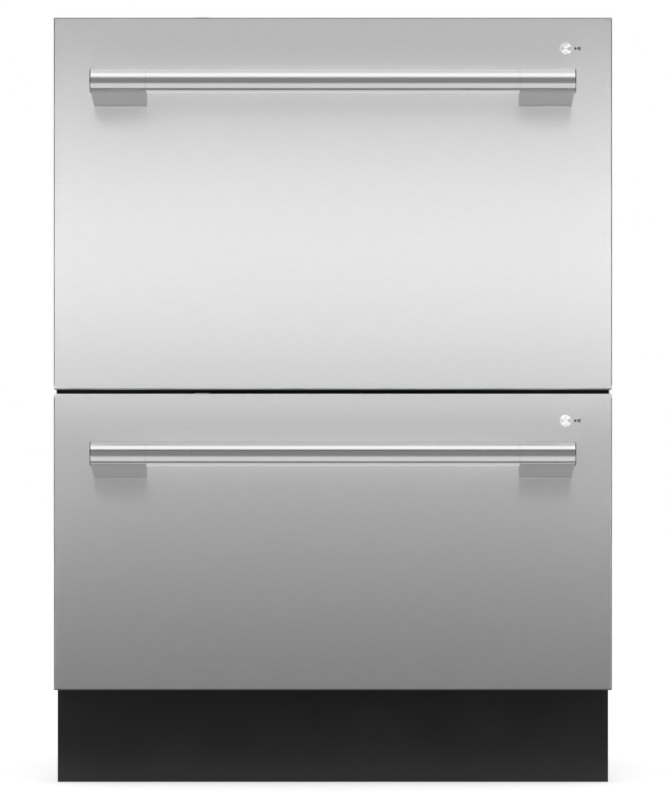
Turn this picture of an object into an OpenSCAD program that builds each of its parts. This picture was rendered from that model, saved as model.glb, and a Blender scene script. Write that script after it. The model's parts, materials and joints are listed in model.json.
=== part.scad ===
// Built-in double dishwasher: two full-extension washing drawers in one sheet-steel chassis.
// Millimetres. +X is to the viewer's right, the drawer fronts face -Y and +Z is up.
// The origin is at floor level, under the centre of the whole appliance.

/* [Fronts] */
// Width of each drawer front
front_w = 597; // [590:1:600]
// Height of the upper drawer front
upper_front_h = 398; // [390:1:404]
// Height of the lower drawer front
lower_front_h = 317; // [310:1:324]
// Gap between the two drawer fronts
front_gap = 4; // [3:0.5:5]
// Height of the lower front's bottom edge above the floor
toe_h = 102; // [100:1:108]
// Depth of a drawer front, from its face to the tub's rim
front_t = 20; // [20:1:22]
// Radius of the folded edges and corners of a drawer front
front_edge_r = 1.6; // [1.5:0.1:3]

/* [Handles] */
// Diameter of the round handle bar
bar_d = 26.5; // [24:0.5:28]
// Length of a whole handle over its posts
handle_len = 517; // [480:1:530]
// Width of each handle post
post_w = 60; // [50:1:64]
// Distance from the front's face to the foremost point of the bar
handle_reach = 54; // [50:1:60]
// Distance of the upper bar's axis below the top edge of its front
upper_bar_drop = 69.5; // [66:0.5:72]
// Distance of the lower bar's axis below the top edge of its front
lower_bar_drop = 64; // [61:0.5:67]
// Distance from the bar's axis down to the foot of a post, where it meets the front
post_drop = 25.5; // [22:0.5:28]
// How far the outer face of a post leans inwards on its way to the front
post_lean = 2; // [0:0.5:3]

/* [Start button] */
// Diameter of the round start button
button_d = 12.3; // [11:0.1:14]
// Distance of the start button from the front's centre line
button_x = 249; // [240:1:255]
// Distance of the upper start button below the top edge of its front
upper_button_drop = 33; // [30:1:36]
// Distance of the lower start button below the top edge of its front
lower_button_drop = 29; // [27:1:33]

/* [Chassis] */
// Width of the chassis
chassis_w = 593; // [592:1:596]
// Depth of the chassis with its hose outlet
chassis_d = 552; // [550:1:556]
// Thickness of the chassis sheet steel
sheet = 1; // [0.8:0.1:1.2]
// Setback of the kick panel from the drawer fronts
toe_recess = 60; // [56:1:64]

/* [Tubs] */
// Depth inside the upper tub, from rim to floor
upper_tub_h = 280; // [270:1:280]
// Depth inside the lower tub, from rim to floor
lower_tub_h = 200; // [190:1:200]
// Wall thickness of a tub
tub_wall = 3; // [2.5:0.5:3.5]
// Corner radius of a tub, outside
tub_r = 45; // [40:1:50]

/* [Runners] */
// Length of a telescopic runner, which is also its travel
runner_len = 520; // [480:10:520]
// Height of the outer member of a runner
runner_h = 45; // [45:1:46]

/* [Baskets] */
// Diameter of a basket wire
wire_d = 4; // [3.5:0.5:4.5]
// Distance between neighbouring wires in the sides of a basket
wire_pitch = 40; // [40:1:41]
// Distance between neighbouring plate tines, and between the cross wires under them
tine_pitch = 26; // [24:1:26]
// Height of the plate tines
tine_h = 75; // [60:1:78]

/* [Hidden] */
$fn = 48;
LOWER = 0;
UPPER = 1;
LEFT = -1;
RIGHT = 1;

// Clearance between fixed pieces, clearance of a running fit, and how far a cut overshoots
slack = 0.3;
run_fit = 0.06;
cut = 1;

// Depth positions, front to back
chassis_gap = 2;
overall_d = handle_reach + front_t + chassis_gap + chassis_d;
face_y = handle_reach - overall_d / 2;
housing_back_y = face_y + front_t;
chassis_front_y = housing_back_y + chassis_gap;
chassis_back_y = chassis_front_y + chassis_d;
outlet_flange_t = 3;
rear_y = chassis_back_y - outlet_flange_t;
kick_y = face_y + toe_recess;
notch_y = kick_y + 4;
cross_y = chassis_front_y + 1;

// Heights of the fronts and the chassis, bottom to top
front_h = [lower_front_h, upper_front_h];
front_z = [toe_h, toe_h + lower_front_h + front_gap];
front_top = front_z + front_h;
chassis_top = front_top[UPPER] + 1;
notch_z = toe_h + 2;
side_bottom_z = 24;
pan_z = 84;
pan_t = 3;
inner_x = chassis_w / 2 - sheet;

// The sill and the middle rail set how low each drawer's motor may hang
sill_top_z = notch_z + pan_t;
mid_rail_z = front_z[UPPER] - 14;
mid_rail_h = 24;
motor_clearance = 5;
motor_h = 33;
sump_depth = 14;
well_depth = 26;
motor_below_floor = well_depth + tub_wall + motor_h;
hang = motor_clearance + motor_below_floor;
floor_z = [sill_top_z + hang, mid_rail_z + mid_rail_h + hang];
rim_z = floor_z + [lower_tub_h, upper_tub_h];

// Tub plan
tub_front_y = housing_back_y + 8;
tub_back_y = 240;
tub_mid_y = (tub_front_y + tub_back_y) / 2;
tub_w = 558;
tub_d = tub_back_y - tub_front_y;
rim_flange = 8;
rim_t = 3;
tub_chamfer = 15;
sump_r = 150;
well_r = 60;
support_h = 30;
shaft_r = 8;

// Lid
lid_travel = 8;
seal_gap = lid_travel + 0.4;
seal_h = 4;
lid_h = 18;
lid_w = tub_w + 14;
lid_r = tub_r + 3;
lid_front_y = chassis_front_y + 2;
lid_d = tub_back_y + rim_flange + 2 - lid_front_y;
lid_pin_r = 3;
actuator_y = 20;

// Handle and button
bar_r = bar_d / 2;
bar_y = face_y - handle_reach + bar_r;
bar_half = handle_len / 2 - post_w;
bar_wall = 1.5;
button_z = front_top - [lower_button_drop, upper_button_drop];
bar_z = front_top - [lower_bar_drop, upper_bar_drop];
button_r = button_d / 2;
stud_r = 2.5;
stud_x = bar_half + post_w / 2;
stud_drops = [-2, -18];
panel_depth = 18;
plunger_r = 4;
button_collar = 2;

// Control strip on the top edge of each front
strip_w = 320;
strip_d = 11;
strip_y = face_y + 9;
key_w = 16;
key_d = 6;
key_x = -140;
strip_h = 6;
shoulder = 2;

// Runner cross-section: where a member's web starts and its flanges end, measured inwards from
// the chassis side, and the heights of the outer, middle and inner member
rail_t = 1.2;
rail_gap = 12.7;
outer_span = [0, 11];
mid_span = [2, 11];
inner_span = [rail_gap, 4.5];
member_h = [runner_h, runner_h - 9, runner_h - 18.2];
rail_front_y = chassis_front_y + 2;
rail_z = floor_z + [1, 1] * 55;

// Dispenser in the front wall of each tub
dispenser_x = 50;
dispenser_w = 150;
dispenser_h = 84;
dispenser_z = rim_z - [1, 1] * (dispenser_h + 24);
cup_w = 56;
cup_h = 58;
cover_w = 64;
cover_h = 66;
cover_t = 2.6;
guide_z = (dispenser_h - cover_h) / 2;
dispenser_y = tub_front_y + tub_wall;
plate_t = 3;

// Basket
wire_r = wire_d / 2;
wire_flat = wire_r * cos(22.5);
basket_x = 258;
basket_half_d = 216;
basket_z = floor_z + [1, 1] * (support_h + wire_flat);
basket_wall_h = [80, 118];
cross_wire_z = basket_z + [1, 1] * (2 * wire_flat - 0.4);
clip_r = 4.6;
hinge_r = 2.5;
tine_hinge_z = cross_wire_z + [1, 1] * (wire_flat + clip_r - 0.6);
long_pitch = 60;
folding_x = -1.5 * long_pitch;
fixed_tine_x = [-3 * long_pitch, 0];
rim_wire_r = 3;
rack_reach = 82;
rack_hinge_x = basket_x - 1;
rack_hinge_z = basket_z[UPPER] - wire_flat + basket_wall_h[UPPER] + rim_wire_r + clip_r - 1;

// Feet
leg_x = 262;
leg_front_y = kick_y + 35;
leg_rear_y = chassis_back_y - 34;
leg_r = 15;
leg_bottom_z = 18;
leg_top_z = 104;
foot_stud_r = 5;

// Screw holes in the chassis sides
fixing_z = [330, 700];
fixing_y = chassis_front_y + 14;
fixing_r = 2.75;

// Stiffening beads in the sides and the top, running front to back
bead_mid_y = 30;
side_bead_r = 4;
side_bead_len = 380;
top_bead_x = [-160, 0, 160];
top_bead_r = 3;
top_bead_len = 400;

// Hose outlet
outlet_x = -210;
outlet_z = 56;
outlet_r = 24;
outlet_wall = 3;
outlet_ring_r = outlet_r + outlet_wall;

// ---------- Shared shapes ----------

// A rounded rectangle about the origin
module rounded_rect(w, d, r) {
    square([w - 2 * r, d], center = true);
    square([w, d - 2 * r], center = true);
    for (x = [-1, 1], y = [-1, 1])
        translate([x * (w / 2 - r), y * (d / 2 - r)])
            circle(r);
}

// A block with round upright edges, standing on z = 0
module rounded_slab(w, d, h, r) {
    linear_extrude(h)
        rounded_rect(w, d, r);
}

// A slab with a chamfered bottom edge
module chamfered_slab(w, d, h, r, chamfer) {
    hull() {
        translate([0, 0, chamfer])
            rounded_slab(w, d, h - chamfer, r, $fn = 32);
        rounded_slab(w - 2 * chamfer, d - 2 * chamfer, 0.5, r - chamfer / 2, $fn = 32);
    }
}

// Straight eight-sided basket wires with a flat underneath, each centred on the origin
module wire_z(len, r) {
    rotate([0, 0, 22.5])
        cylinder(h = len, r = r, center = true, $fn = 8);
}

module wire_x(len, r) {
    rotate([0, 90, 0])
        wire_z(len, r);
}

module wire_y(len, r) {
    rotate([90, 0, 0])
        wire_z(len, r);
}

// A shape drawn in (y, z) and run along X from x0 to x1
module along_x(x0, x1) {
    translate([x0, 0, 0])
        rotate([90, 0, 90])
            linear_extrude(x1 - x0)
                children();
}

// A shape drawn in (x, z) and run along Y from y0 to y1
module along_y(y0, y1) {
    translate([0, y1, 0])
        rotate([90, 0, 0])
            linear_extrude(y1 - y0)
                children();
}

// ---------- Chassis ----------

// A half-round stiffening bead pressed inwards into a side panel, running along Y
module side_bead(z) {
    translate([inner_x + sheet, bead_mid_y, z])
        rotate([90, 0, 0])
            cylinder(h = side_bead_len, r = side_bead_r, center = true);
}

module side_panel(side) {
    flange = 12;
    front_relief = 2;
    bead_z = [front_z[LOWER] + 30, rail_z[LOWER] + 70, rail_z[UPPER] - 75, rail_z[UPPER] + 75];
    top_z = chassis_top - sheet;
    back_y = rear_y - sheet;
    color("lightgray")
    mirror([side == LEFT ? 1 : 0, 0, 0])
    difference() {
        union() {
            along_x(inner_x, inner_x + sheet)
                polygon([
                    [chassis_front_y, notch_z], [chassis_front_y, top_z], [back_y, top_z],
                    [back_y, side_bottom_z], [notch_y, side_bottom_z], [notch_y, notch_z]]);
            // Flanges that the top and the rear panel are screwed to
            translate([inner_x - flange, chassis_front_y + front_relief, top_z - sheet])
                cube([flange, back_y - chassis_front_y - front_relief, sheet]);
            translate([inner_x - flange, back_y - sheet, side_bottom_z])
                cube([flange, sheet, top_z - side_bottom_z - sheet]);
            // The beads bulge inwards only
            intersection() {
                translate([inner_x - side_bead_r, bead_mid_y - side_bead_len, side_bottom_z])
                    cube([side_bead_r + sheet, 2 * side_bead_len, top_z]);
                for (z = bead_z)
                    side_bead(z);
            }
        }
        for (z = bead_z)
            translate([sheet, 0, 0])
                side_bead(z);
        for (z = fixing_z)
            translate([inner_x - cut, fixing_y, z])
                rotate([0, 90, 0])
                    cylinder(h = sheet + 2 * cut, r = fixing_r);
    }
}

module top_bead(x, z) {
    translate([x, bead_mid_y, z])
        rotate([90, 0, 0])
            cylinder(h = top_bead_len, r = top_bead_r, center = true);
}

module top_panel() {
    hem = 10;
    hem_half_w = inner_x - 1;
    color("lightgray")
    difference() {
        union() {
            translate([-chassis_w / 2, chassis_front_y, chassis_top - sheet])
                cube([chassis_w, rear_y - sheet - chassis_front_y, sheet]);
            translate([-hem_half_w, chassis_front_y, chassis_top - sheet - hem])
                cube([2 * hem_half_w, sheet, hem]);
            for (x = top_bead_x)
                top_bead(x, chassis_top);
        }
        for (x = top_bead_x)
            top_bead(x, chassis_top + sheet);
        translate([-chassis_w / 2, chassis_front_y, chassis_top])
            cube([chassis_w, chassis_d, 2 * top_bead_r]);
    }
}

module rear_panel() {
    color("lightgray")
    difference() {
        translate([-chassis_w / 2, rear_y - sheet, side_bottom_z])
            cube([chassis_w, sheet, chassis_top - side_bottom_z]);
        translate([outlet_x, rear_y - sheet - cut, outlet_z])
            rotate([-90, 0, 0])
                cylinder(h = sheet + 2 * cut, r = outlet_ring_r + slack);
    }
}

// Rubber-lipped ring where the supply and drain hoses and the lead leave the chassis
module hose_outlet() {
    flange_r = outlet_r + 7;
    depth = 6;
    color("dimgray")
    translate([outlet_x, rear_y, outlet_z])
        rotate([-90, 0, 0])
            difference() {
                union() {
                    cylinder(h = outlet_flange_t, r = flange_r);
                    translate([0, 0, -depth])
                        cylinder(h = depth + outlet_flange_t, r = outlet_ring_r);
                }
                translate([0, 0, -depth - cut])
                    cylinder(h = depth + outlet_flange_t + 2 * cut, r = outlet_r);
            }
}

// Drip tray with the front sill; the four legs pass through its corners
module base_pan() {
    pan_x = inner_x;
    web_y = notch_y + 2;
    back_y = rear_y - 2 * sheet - slack;
    wall_h = 16;
    rib_h = 10;
    rib_t = 3;
    color("dimgray")
    difference() {
        union() {
            translate([-pan_x, web_y, pan_z])
                cube([2 * pan_x, back_y - web_y, pan_t]);
            for (x = [-pan_x, pan_x - pan_t])
                translate([x, web_y, pan_z])
                    cube([pan_t, back_y - web_y, wall_h]);
            translate([-pan_x, back_y - pan_t, pan_z])
                cube([2 * pan_x, pan_t, wall_h]);
            // The sill steps up and forward over the toe space
            translate([-pan_x, web_y, pan_z])
                cube([2 * pan_x, pan_t, sill_top_z - pan_z]);
            translate([-pan_x, cross_y, sill_top_z - pan_t])
                cube([2 * pan_x, web_y + pan_t - cross_y, pan_t]);
            // Ribs under the tray
            for (x = [-180, -60, 60, 180])
                translate([x - rib_t / 2, web_y, pan_z - rib_h])
                    cube([rib_t, back_y - web_y, rib_h]);
            for (y = [-60, 140])
                translate([-pan_x, y, pan_z - rib_h])
                    cube([2 * pan_x, rib_t, rib_h]);
        }
        for (x = [-leg_x, leg_x], y = [leg_front_y, leg_rear_y])
            translate([x, y, pan_z])
                cylinder(h = 3 * rib_h, r = leg_r + slack, center = true);
    }
}

module leg_sockets() {
    collar_r = leg_r + 6;
    collar_h = 4;
    cap_t = 3;
    color("darkslategray")
    for (x = [-leg_x, leg_x], y = [leg_front_y, leg_rear_y])
        translate([x, y, 0])
            difference() {
                union() {
                    translate([0, 0, leg_bottom_z])
                        cylinder(h = leg_top_z - leg_bottom_z, r = leg_r);
                    translate([0, 0, pan_z - collar_h])
                        cylinder(h = collar_h, r = collar_r);
                }
                translate([0, 0, leg_bottom_z - cut])
                    cylinder(h = leg_top_z - cap_t - leg_bottom_z + cut, r = foot_stud_r + run_fit);
            }
}

// Levelling foot: pad, hexagon for the spanner and threaded stem
module foot(x, y) {
    pad_r = 21;
    edge_h = 2;
    cone_h = 5;
    cone_r = 13;
    hex_z = edge_h + cone_h - 1;
    hex_r = 10;
    hex_h = 10;
    stem_z = hex_z + hex_h - 1;
    head_room = 6;
    color("dimgray")
    translate([x, y, 0]) {
        cylinder(h = edge_h, r1 = pad_r - 2, r2 = pad_r);
        translate([0, 0, edge_h])
            cylinder(h = cone_h, r1 = pad_r, r2 = cone_r);
        translate([0, 0, hex_z])
            cylinder(h = hex_h, r = hex_r, $fn = 6);
        translate([0, 0, stem_z])
            cylinder(h = leg_top_z - head_room - stem_z, r = foot_stud_r);
    }
}

// Folded kick panel with a clip that grips each front leg
module kick_panel() {
    kick_t = 1.5;
    kick_w = chassis_w + 0.4;
    kick_z = 0.5;
    kick_h = toe_h - 2 - kick_z;
    top_hem = 3.5;
    bottom_hem = 9;
    clip_z = 40;
    clip_h = 20;
    clip_outer_r = leg_r + 3.3;
    clip_reach = 6;
    web_w = 8;
    web_y0 = kick_y + kick_t / 2 - leg_front_y;
    web_y1 = -(leg_r + clip_outer_r) / 2;
    color("black")
    union() {
        translate([-kick_w / 2, kick_y, kick_z])
            cube([kick_w, kick_t, kick_h]);
        translate([-kick_w / 2, kick_y, kick_z + kick_h - kick_t])
            cube([kick_w, top_hem, kick_t]);
        translate([-kick_w / 2, kick_y, kick_z])
            cube([kick_w, bottom_hem, kick_t]);
        for (x = [-leg_x, leg_x])
            translate([x, leg_front_y, clip_z]) {
                difference() {
                    cylinder(h = clip_h, r = clip_outer_r);
                    translate([0, 0, -cut])
                        cylinder(h = clip_h + 2 * cut, r = leg_r + slack);
                    // The clip is open to the back, past the leg's axis
                    translate([-2 * leg_r, clip_reach, -cut])
                        cube([4 * leg_r, 2 * leg_r, clip_h + 2 * cut]);
                }
                translate([-web_w / 2, web_y0, 0])
                    cube([web_w, web_y1 - web_y0, clip_h]);
            }
    }
}

module middle_cross_rail() {
    gauge = 1.2;
    depth = 30;
    y0 = cross_y;
    color("black")
    along_x(-inner_x, inner_x)
        polygon([
            [y0, mid_rail_z], [y0 + depth, mid_rail_z], [y0 + depth, mid_rail_z + gauge],
            [y0 + gauge, mid_rail_z + gauge], [y0 + gauge, mid_rail_z + mid_rail_h - gauge],
            [y0 + depth, mid_rail_z + mid_rail_h - gauge], [y0 + depth, mid_rail_z + mid_rail_h],
            [y0, mid_rail_z + mid_rail_h]]);
}

// ---------- Telescopic runners ----------

// A C-shaped member. Its web starts at span[0] from the chassis side and its flanges end at
// span[1]; h is its height and lip turns the flange ends towards the middle.
module c_member(k, side, span, h, lip) {
    near = min(span[0], span[1]);
    far = max(span[0], span[1]);
    web_first = span[0] < span[1];
    web_u = web_first ? near : far - rail_t;
    lip_u = web_first ? far - rail_t : near;
    translate([side * inner_x, 0, rail_z[k]])
        mirror([side == RIGHT ? 1 : 0, 0, 0])
            along_y(rail_front_y, rail_front_y + runner_len) {
                translate([web_u, -h / 2])
                    square([rail_t, h]);
                for (v = [-h / 2, h / 2 - rail_t])
                    translate([near, v])
                        square([far - near, rail_t]);
                if (lip > 0)
                    for (v = [-h / 2, h / 2 - rail_t - lip])
                        translate([lip_u, v])
                            square([rail_t, rail_t + lip]);
            }
}

module outer_rails(k) {
    lip = 1;
    color("silver")
    for (side = [LEFT, RIGHT])
        c_member(k, side, outer_span, member_h[0], lip);
}

module mid_rail(k, side) {
    color("gainsboro")
    c_member(k, side, mid_span, member_h[1], 0);
}

module inner_rails(k) {
    color("silver")
    for (side = [LEFT, RIGHT])
        c_member(k, side, inner_span, member_h[2], 0);
}

// ---------- Lids ----------

module lid(k) {
    lid_z = rim_z[k] + seal_gap + seal_h;
    mid_y = lid_front_y + lid_d / 2;
    skin = 3;
    rib_t = 2.5;
    rib_h = lid_h - 5;
    pin_len = 8;
    pin_x = lid_w / 2 + 2;
    color("whitesmoke")
    union() {
        translate([0, mid_y, lid_z]) {
            rounded_slab(lid_w, lid_d, skin, lid_r);
            difference() {
                rounded_slab(lid_w, lid_d, lid_h, lid_r);
                translate([0, 0, -cut])
                    rounded_slab(lid_w - 2 * skin, lid_d - 2 * skin, lid_h + 2 * cut, lid_r - skin);
            }
            for (x = [-180, -60, 60, 180])
                translate([x - rib_t / 2, -lid_d / 2 + 1, 1])
                    cube([rib_t, lid_d - 2, rib_h]);
            for (y = [-120, 0, 120])
                translate([-lid_w / 2 + 1, y - rib_t / 2, 1])
                    cube([lid_w - 2, rib_t, rib_h]);
        }
        // Pins that the lid actuators lift
        for (s = [-1, 1])
            translate([s * pin_x, actuator_y, lid_z + lid_h / 2])
                rotate([0, 90, 0])
                    cylinder(h = pin_len, r = lid_pin_r, center = true);
    }
}

module lid_seal(k) {
    mid_y = lid_front_y + lid_d / 2;
    inset = 2;
    strip = 11;
    inner_inset = inset + strip;
    color("gray")
    translate([0, mid_y, rim_z[k] + seal_gap])
        difference() {
            rounded_slab(lid_w - 2 * inset, lid_d - 2 * inset, seal_h, lid_r - inset);
            translate([0, 0, -cut])
                rounded_slab(
                    lid_w - 2 * inner_inset, lid_d - 2 * inner_inset,
                    seal_h + 2 * cut, lid_r - inner_inset);
        }
}

// Slotted guides on both sides of each lid, whose motors stay inside the housings
module lid_actuators() {
    body_w = inner_x - lid_w / 2 - 2.5;
    body_d = 90;
    body_h = lid_travel + 20;
    backplate_t = 3;
    color("dimgray")
    for (k = [LOWER, UPPER], s = [-1, 1]) {
        pin_z = rim_z[k] + seal_gap + seal_h + lid_h / 2;
        slot_w = 2 * (lid_pin_r + slack);
        translate([s * (inner_x - body_w / 2), actuator_y, pin_z - lid_travel / 2])
            difference() {
                cube([body_w, body_d, body_h], center = true);
                translate([-s * backplate_t, 0, 0])
                    cube([body_w, slot_w, lid_travel + slot_w], center = true);
            }
    }
}

// ---------- Drawer fronts ----------

// The outline of a folded sheet in section: a strip of width w and depth d along +Y, centred on
// the Y axis, with its two front corners rounded to radius r
module fold_profile(w, d, r) {
    translate([-w / 2, r])
        square([w, d - r]);
    translate([-w / 2 + r, 0])
        square([w - 2 * r, d]);
    for (x = [r - w / 2, w / 2 - r])
        translate([x, r])
            circle(r);
}

// Steel sheet folded back at all four edges
module front_panel(k) {
    w = front_w;
    h = front_h[k];
    color("silver")
    difference() {
        translate([0, face_y, front_z[k] + h / 2])
            intersection() {
                translate([0, 0, -h / 2])
                    linear_extrude(h)
                        fold_profile(w, panel_depth, front_edge_r);
                rotate([0, 90, 0])
                    translate([0, 0, -w / 2])
                        linear_extrude(w)
                            fold_profile(h, panel_depth, front_edge_r);
                rotate([-90, 0, 0])
                    linear_extrude(panel_depth)
                        rounded_rect(w, h, front_edge_r);
            }
        translate([-w / 2 + sheet, face_y + sheet, front_z[k] + sheet])
            cube([w - 2 * sheet, panel_depth, h - 2 * sheet]);
        // Openings for the start button, the studs of the handle and the control strip
        translate([button_x, face_y, button_z[k]])
            rotate([90, 0, 0])
                cylinder(h = 4 * sheet, r = button_r + slack, center = true);
        for (s = [-1, 1], dz = stud_drops)
            translate([s * stud_x, face_y, bar_z[k] + dz])
                rotate([90, 0, 0])
                    cylinder(h = 4 * sheet, r = stud_r + slack, center = true);
        translate([0, strip_y, front_top[k]])
            cube([strip_w + 2 * slack, strip_d + 2 * slack, 4 * sheet], center = true);
    }
}

// Ribbed moulding that fills the steel front and carries the tub
module front_housing(k) {
    w = front_w - 2 * sheet - 2 * slack;
    h = front_h[k] - 2 * sheet - 2 * slack;
    y0 = face_y + sheet;
    d = housing_back_y - y0;
    wall = 3;
    z0 = front_z[k] + sheet + slack;
    switch_r = 6;
    switch_h = 7;
    handle_pocket = [34, 14, 40];
    strip_pocket = [strip_w + 6, strip_d + 3, 15];
    color("gray")
    difference() {
        union() {
            translate([-w / 2, housing_back_y - wall, z0])
                cube([w, wall, h]);
            difference() {
                translate([-w / 2, y0, z0])
                    cube([w, d, h]);
                translate([-w / 2 + wall, y0 - cut, z0 + wall])
                    cube([w - 2 * wall, d + 2 * cut, h - 2 * wall]);
            }
            for (x = [-180, -60, 60, 180])
                translate([x - wall / 2, y0, z0])
                    cube([wall, d - 1, h]);
            for (z = [h / 3, 2 * h / 3])
                translate([-w / 2, y0, z0 + z])
                    cube([w, d - 1, wall]);
            // Switch behind the start button
            translate([button_x, housing_back_y - 1, button_z[k]])
                rotate([90, 0, 0])
                    cylinder(h = switch_h, r = switch_r);
        }
        translate([dispenser_x - 1, y0 - cut, dispenser_z[k] - 1])
            cube([dispenser_w + 2, front_t + 2 * cut, dispenser_h + 2]);
        translate([0, strip_y, front_top[k] - strip_h])
            cube(strip_pocket, center = true);
        for (s = [-1, 1])
            translate([s * stud_x, y0, bar_z[k] - 10])
                cube(handle_pocket, center = true);
        translate([button_x, y0 - cut, button_z[k]])
            rotate([-90, 0, 0])
                cylinder(h = 8, r = button_r + button_collar + 1.5);
    }
}

// Touch-key strip let into the top edge of the front
module control_strip(k) {
    top = front_top[k];
    shoulder_h = 4;
    color("dimgray")
    difference() {
        union() {
            translate([0, strip_y, top - strip_h / 2])
                cube([strip_w, strip_d, strip_h], center = true);
            translate([0, strip_y, top - sheet - shoulder_h / 2])
                cube([strip_w + 2 * shoulder, strip_d + shoulder, shoulder_h], center = true);
        }
        translate([key_x, strip_y, top - strip_h - cut])
            rounded_slab(key_w + 0.5, key_d + 0.5, strip_h + 2 * cut, key_d / 2);
    }
}

module power_key(k) {
    proud = 0.6;
    cap_h = 7.6;
    foot_w = 3;
    foot_h = 2.4;
    color("white")
    translate([key_x, strip_y, front_top[k] + proud - cap_h]) {
        rounded_slab(key_w, key_d, cap_h, key_d / 2 - 0.2);
        // Wider foot that stops the key under the strip
        translate([0, 0, -2])
            rounded_slab(key_w + foot_w, key_d + foot_w, foot_h, key_d / 2);
    }
}

// Push button with a collar that stops it behind the steel
module start_button(k) {
    proud = 0.6;
    bevel = 0.4;
    cap_h = 3;
    collar_h = 1.4;
    plunger_h = 10.5;
    color("whitesmoke")
    translate([button_x, face_y, button_z[k]])
        rotate([-90, 0, 0])
            union() {
                translate([0, 0, bevel - proud])
                    cylinder(h = cap_h + proud, r = button_r);
                translate([0, 0, -proud])
                    cylinder(h = bevel, r1 = button_r - bevel, r2 = button_r);
                translate([0, 0, sheet + slack])
                    cylinder(h = collar_h, r = button_r + button_collar);
                cylinder(h = plunger_h, r = plunger_r);
            }
}

// ---------- Handles ----------

module handle_bar(k) {
    color("silver")
    translate([0, bar_y, bar_z[k]])
        rotate([0, 90, 0])
            difference() {
                cylinder(h = 2 * bar_half, r = bar_r, center = true);
                cylinder(h = 2 * bar_half + 2 * cut, r = bar_r - bar_wall, center = true);
            }
}

// Where the straight line from p touches a circle of radius r about c; turn is +1 or -1
function touch_point(p, c, r, turn) =
    let (d = c - p, dist = norm(d), a = atan2(d[1], d[0]) + turn * asin(r / dist))
    p + sqrt(dist * dist - r * r) * [cos(a), sin(a)];

// A bracket under each end of the bar. Its upper and lower faces run from the panel to the
// round end piece, and a spigot holds the tube.
module handle_posts(k) {
    axis = [bar_y, bar_z[k]];
    foot_low = [face_y, bar_z[k] - post_drop];
    foot_high = [face_y, bar_z[k] + bar_r - 4];
    face_r = bar_r - 0.06;
    edge_r = 1.5;
    flat_w = post_w - edge_r;
    spigot_len = 14;
    stud_len = 9;
    nut_r = 4.6;
    nut_h = 4;
    color("silver")
    for (side = [LEFT, RIGHT])
        mirror([side == LEFT ? 1 : 0, 0, 0])
            union() {
                intersection() {
                    along_x(bar_half, bar_half + flat_w)
                        polygon([
                            foot_low, touch_point(foot_low, axis, face_r, 1), axis,
                            touch_point(foot_high, axis, face_r, -1), foot_high]);
                    translate([0, 0, bar_z[k] - bar_d])
                        linear_extrude(2 * bar_d)
                            polygon([
                                [bar_half, bar_y - bar_d], [bar_half + post_w, bar_y - bar_d],
                                [bar_half + flat_w, bar_y],
                                [bar_half + flat_w - post_lean, face_y + cut],
                                [bar_half, face_y + cut]]);
                }
                translate([bar_half, bar_y, bar_z[k]])
                    rotate([0, 90, 0])
                        rotate_extrude()
                            polygon(concat(
                                [[0, 0], [bar_r, 0]],
                                [for (a = [0:15:90])
                                    [bar_r - edge_r, flat_w] + edge_r * [cos(a), sin(a)]],
                                [[0, post_w]]));
                translate([bar_half - spigot_len, bar_y, bar_z[k]])
                    rotate([0, 90, 0])
                        cylinder(h = spigot_len + 1, r = bar_r - bar_wall - 0.1);
                for (dz = stud_drops)
                    translate([stud_x, face_y - 1, bar_z[k] + dz])
                        rotate([-90, 0, 0]) {
                            cylinder(h = stud_len, r = stud_r);
                            translate([0, 0, 1 + sheet])
                                cylinder(h = nut_h, r = nut_r, $fn = 6);
                        }
            }
}

// ---------- Tubs ----------

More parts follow.
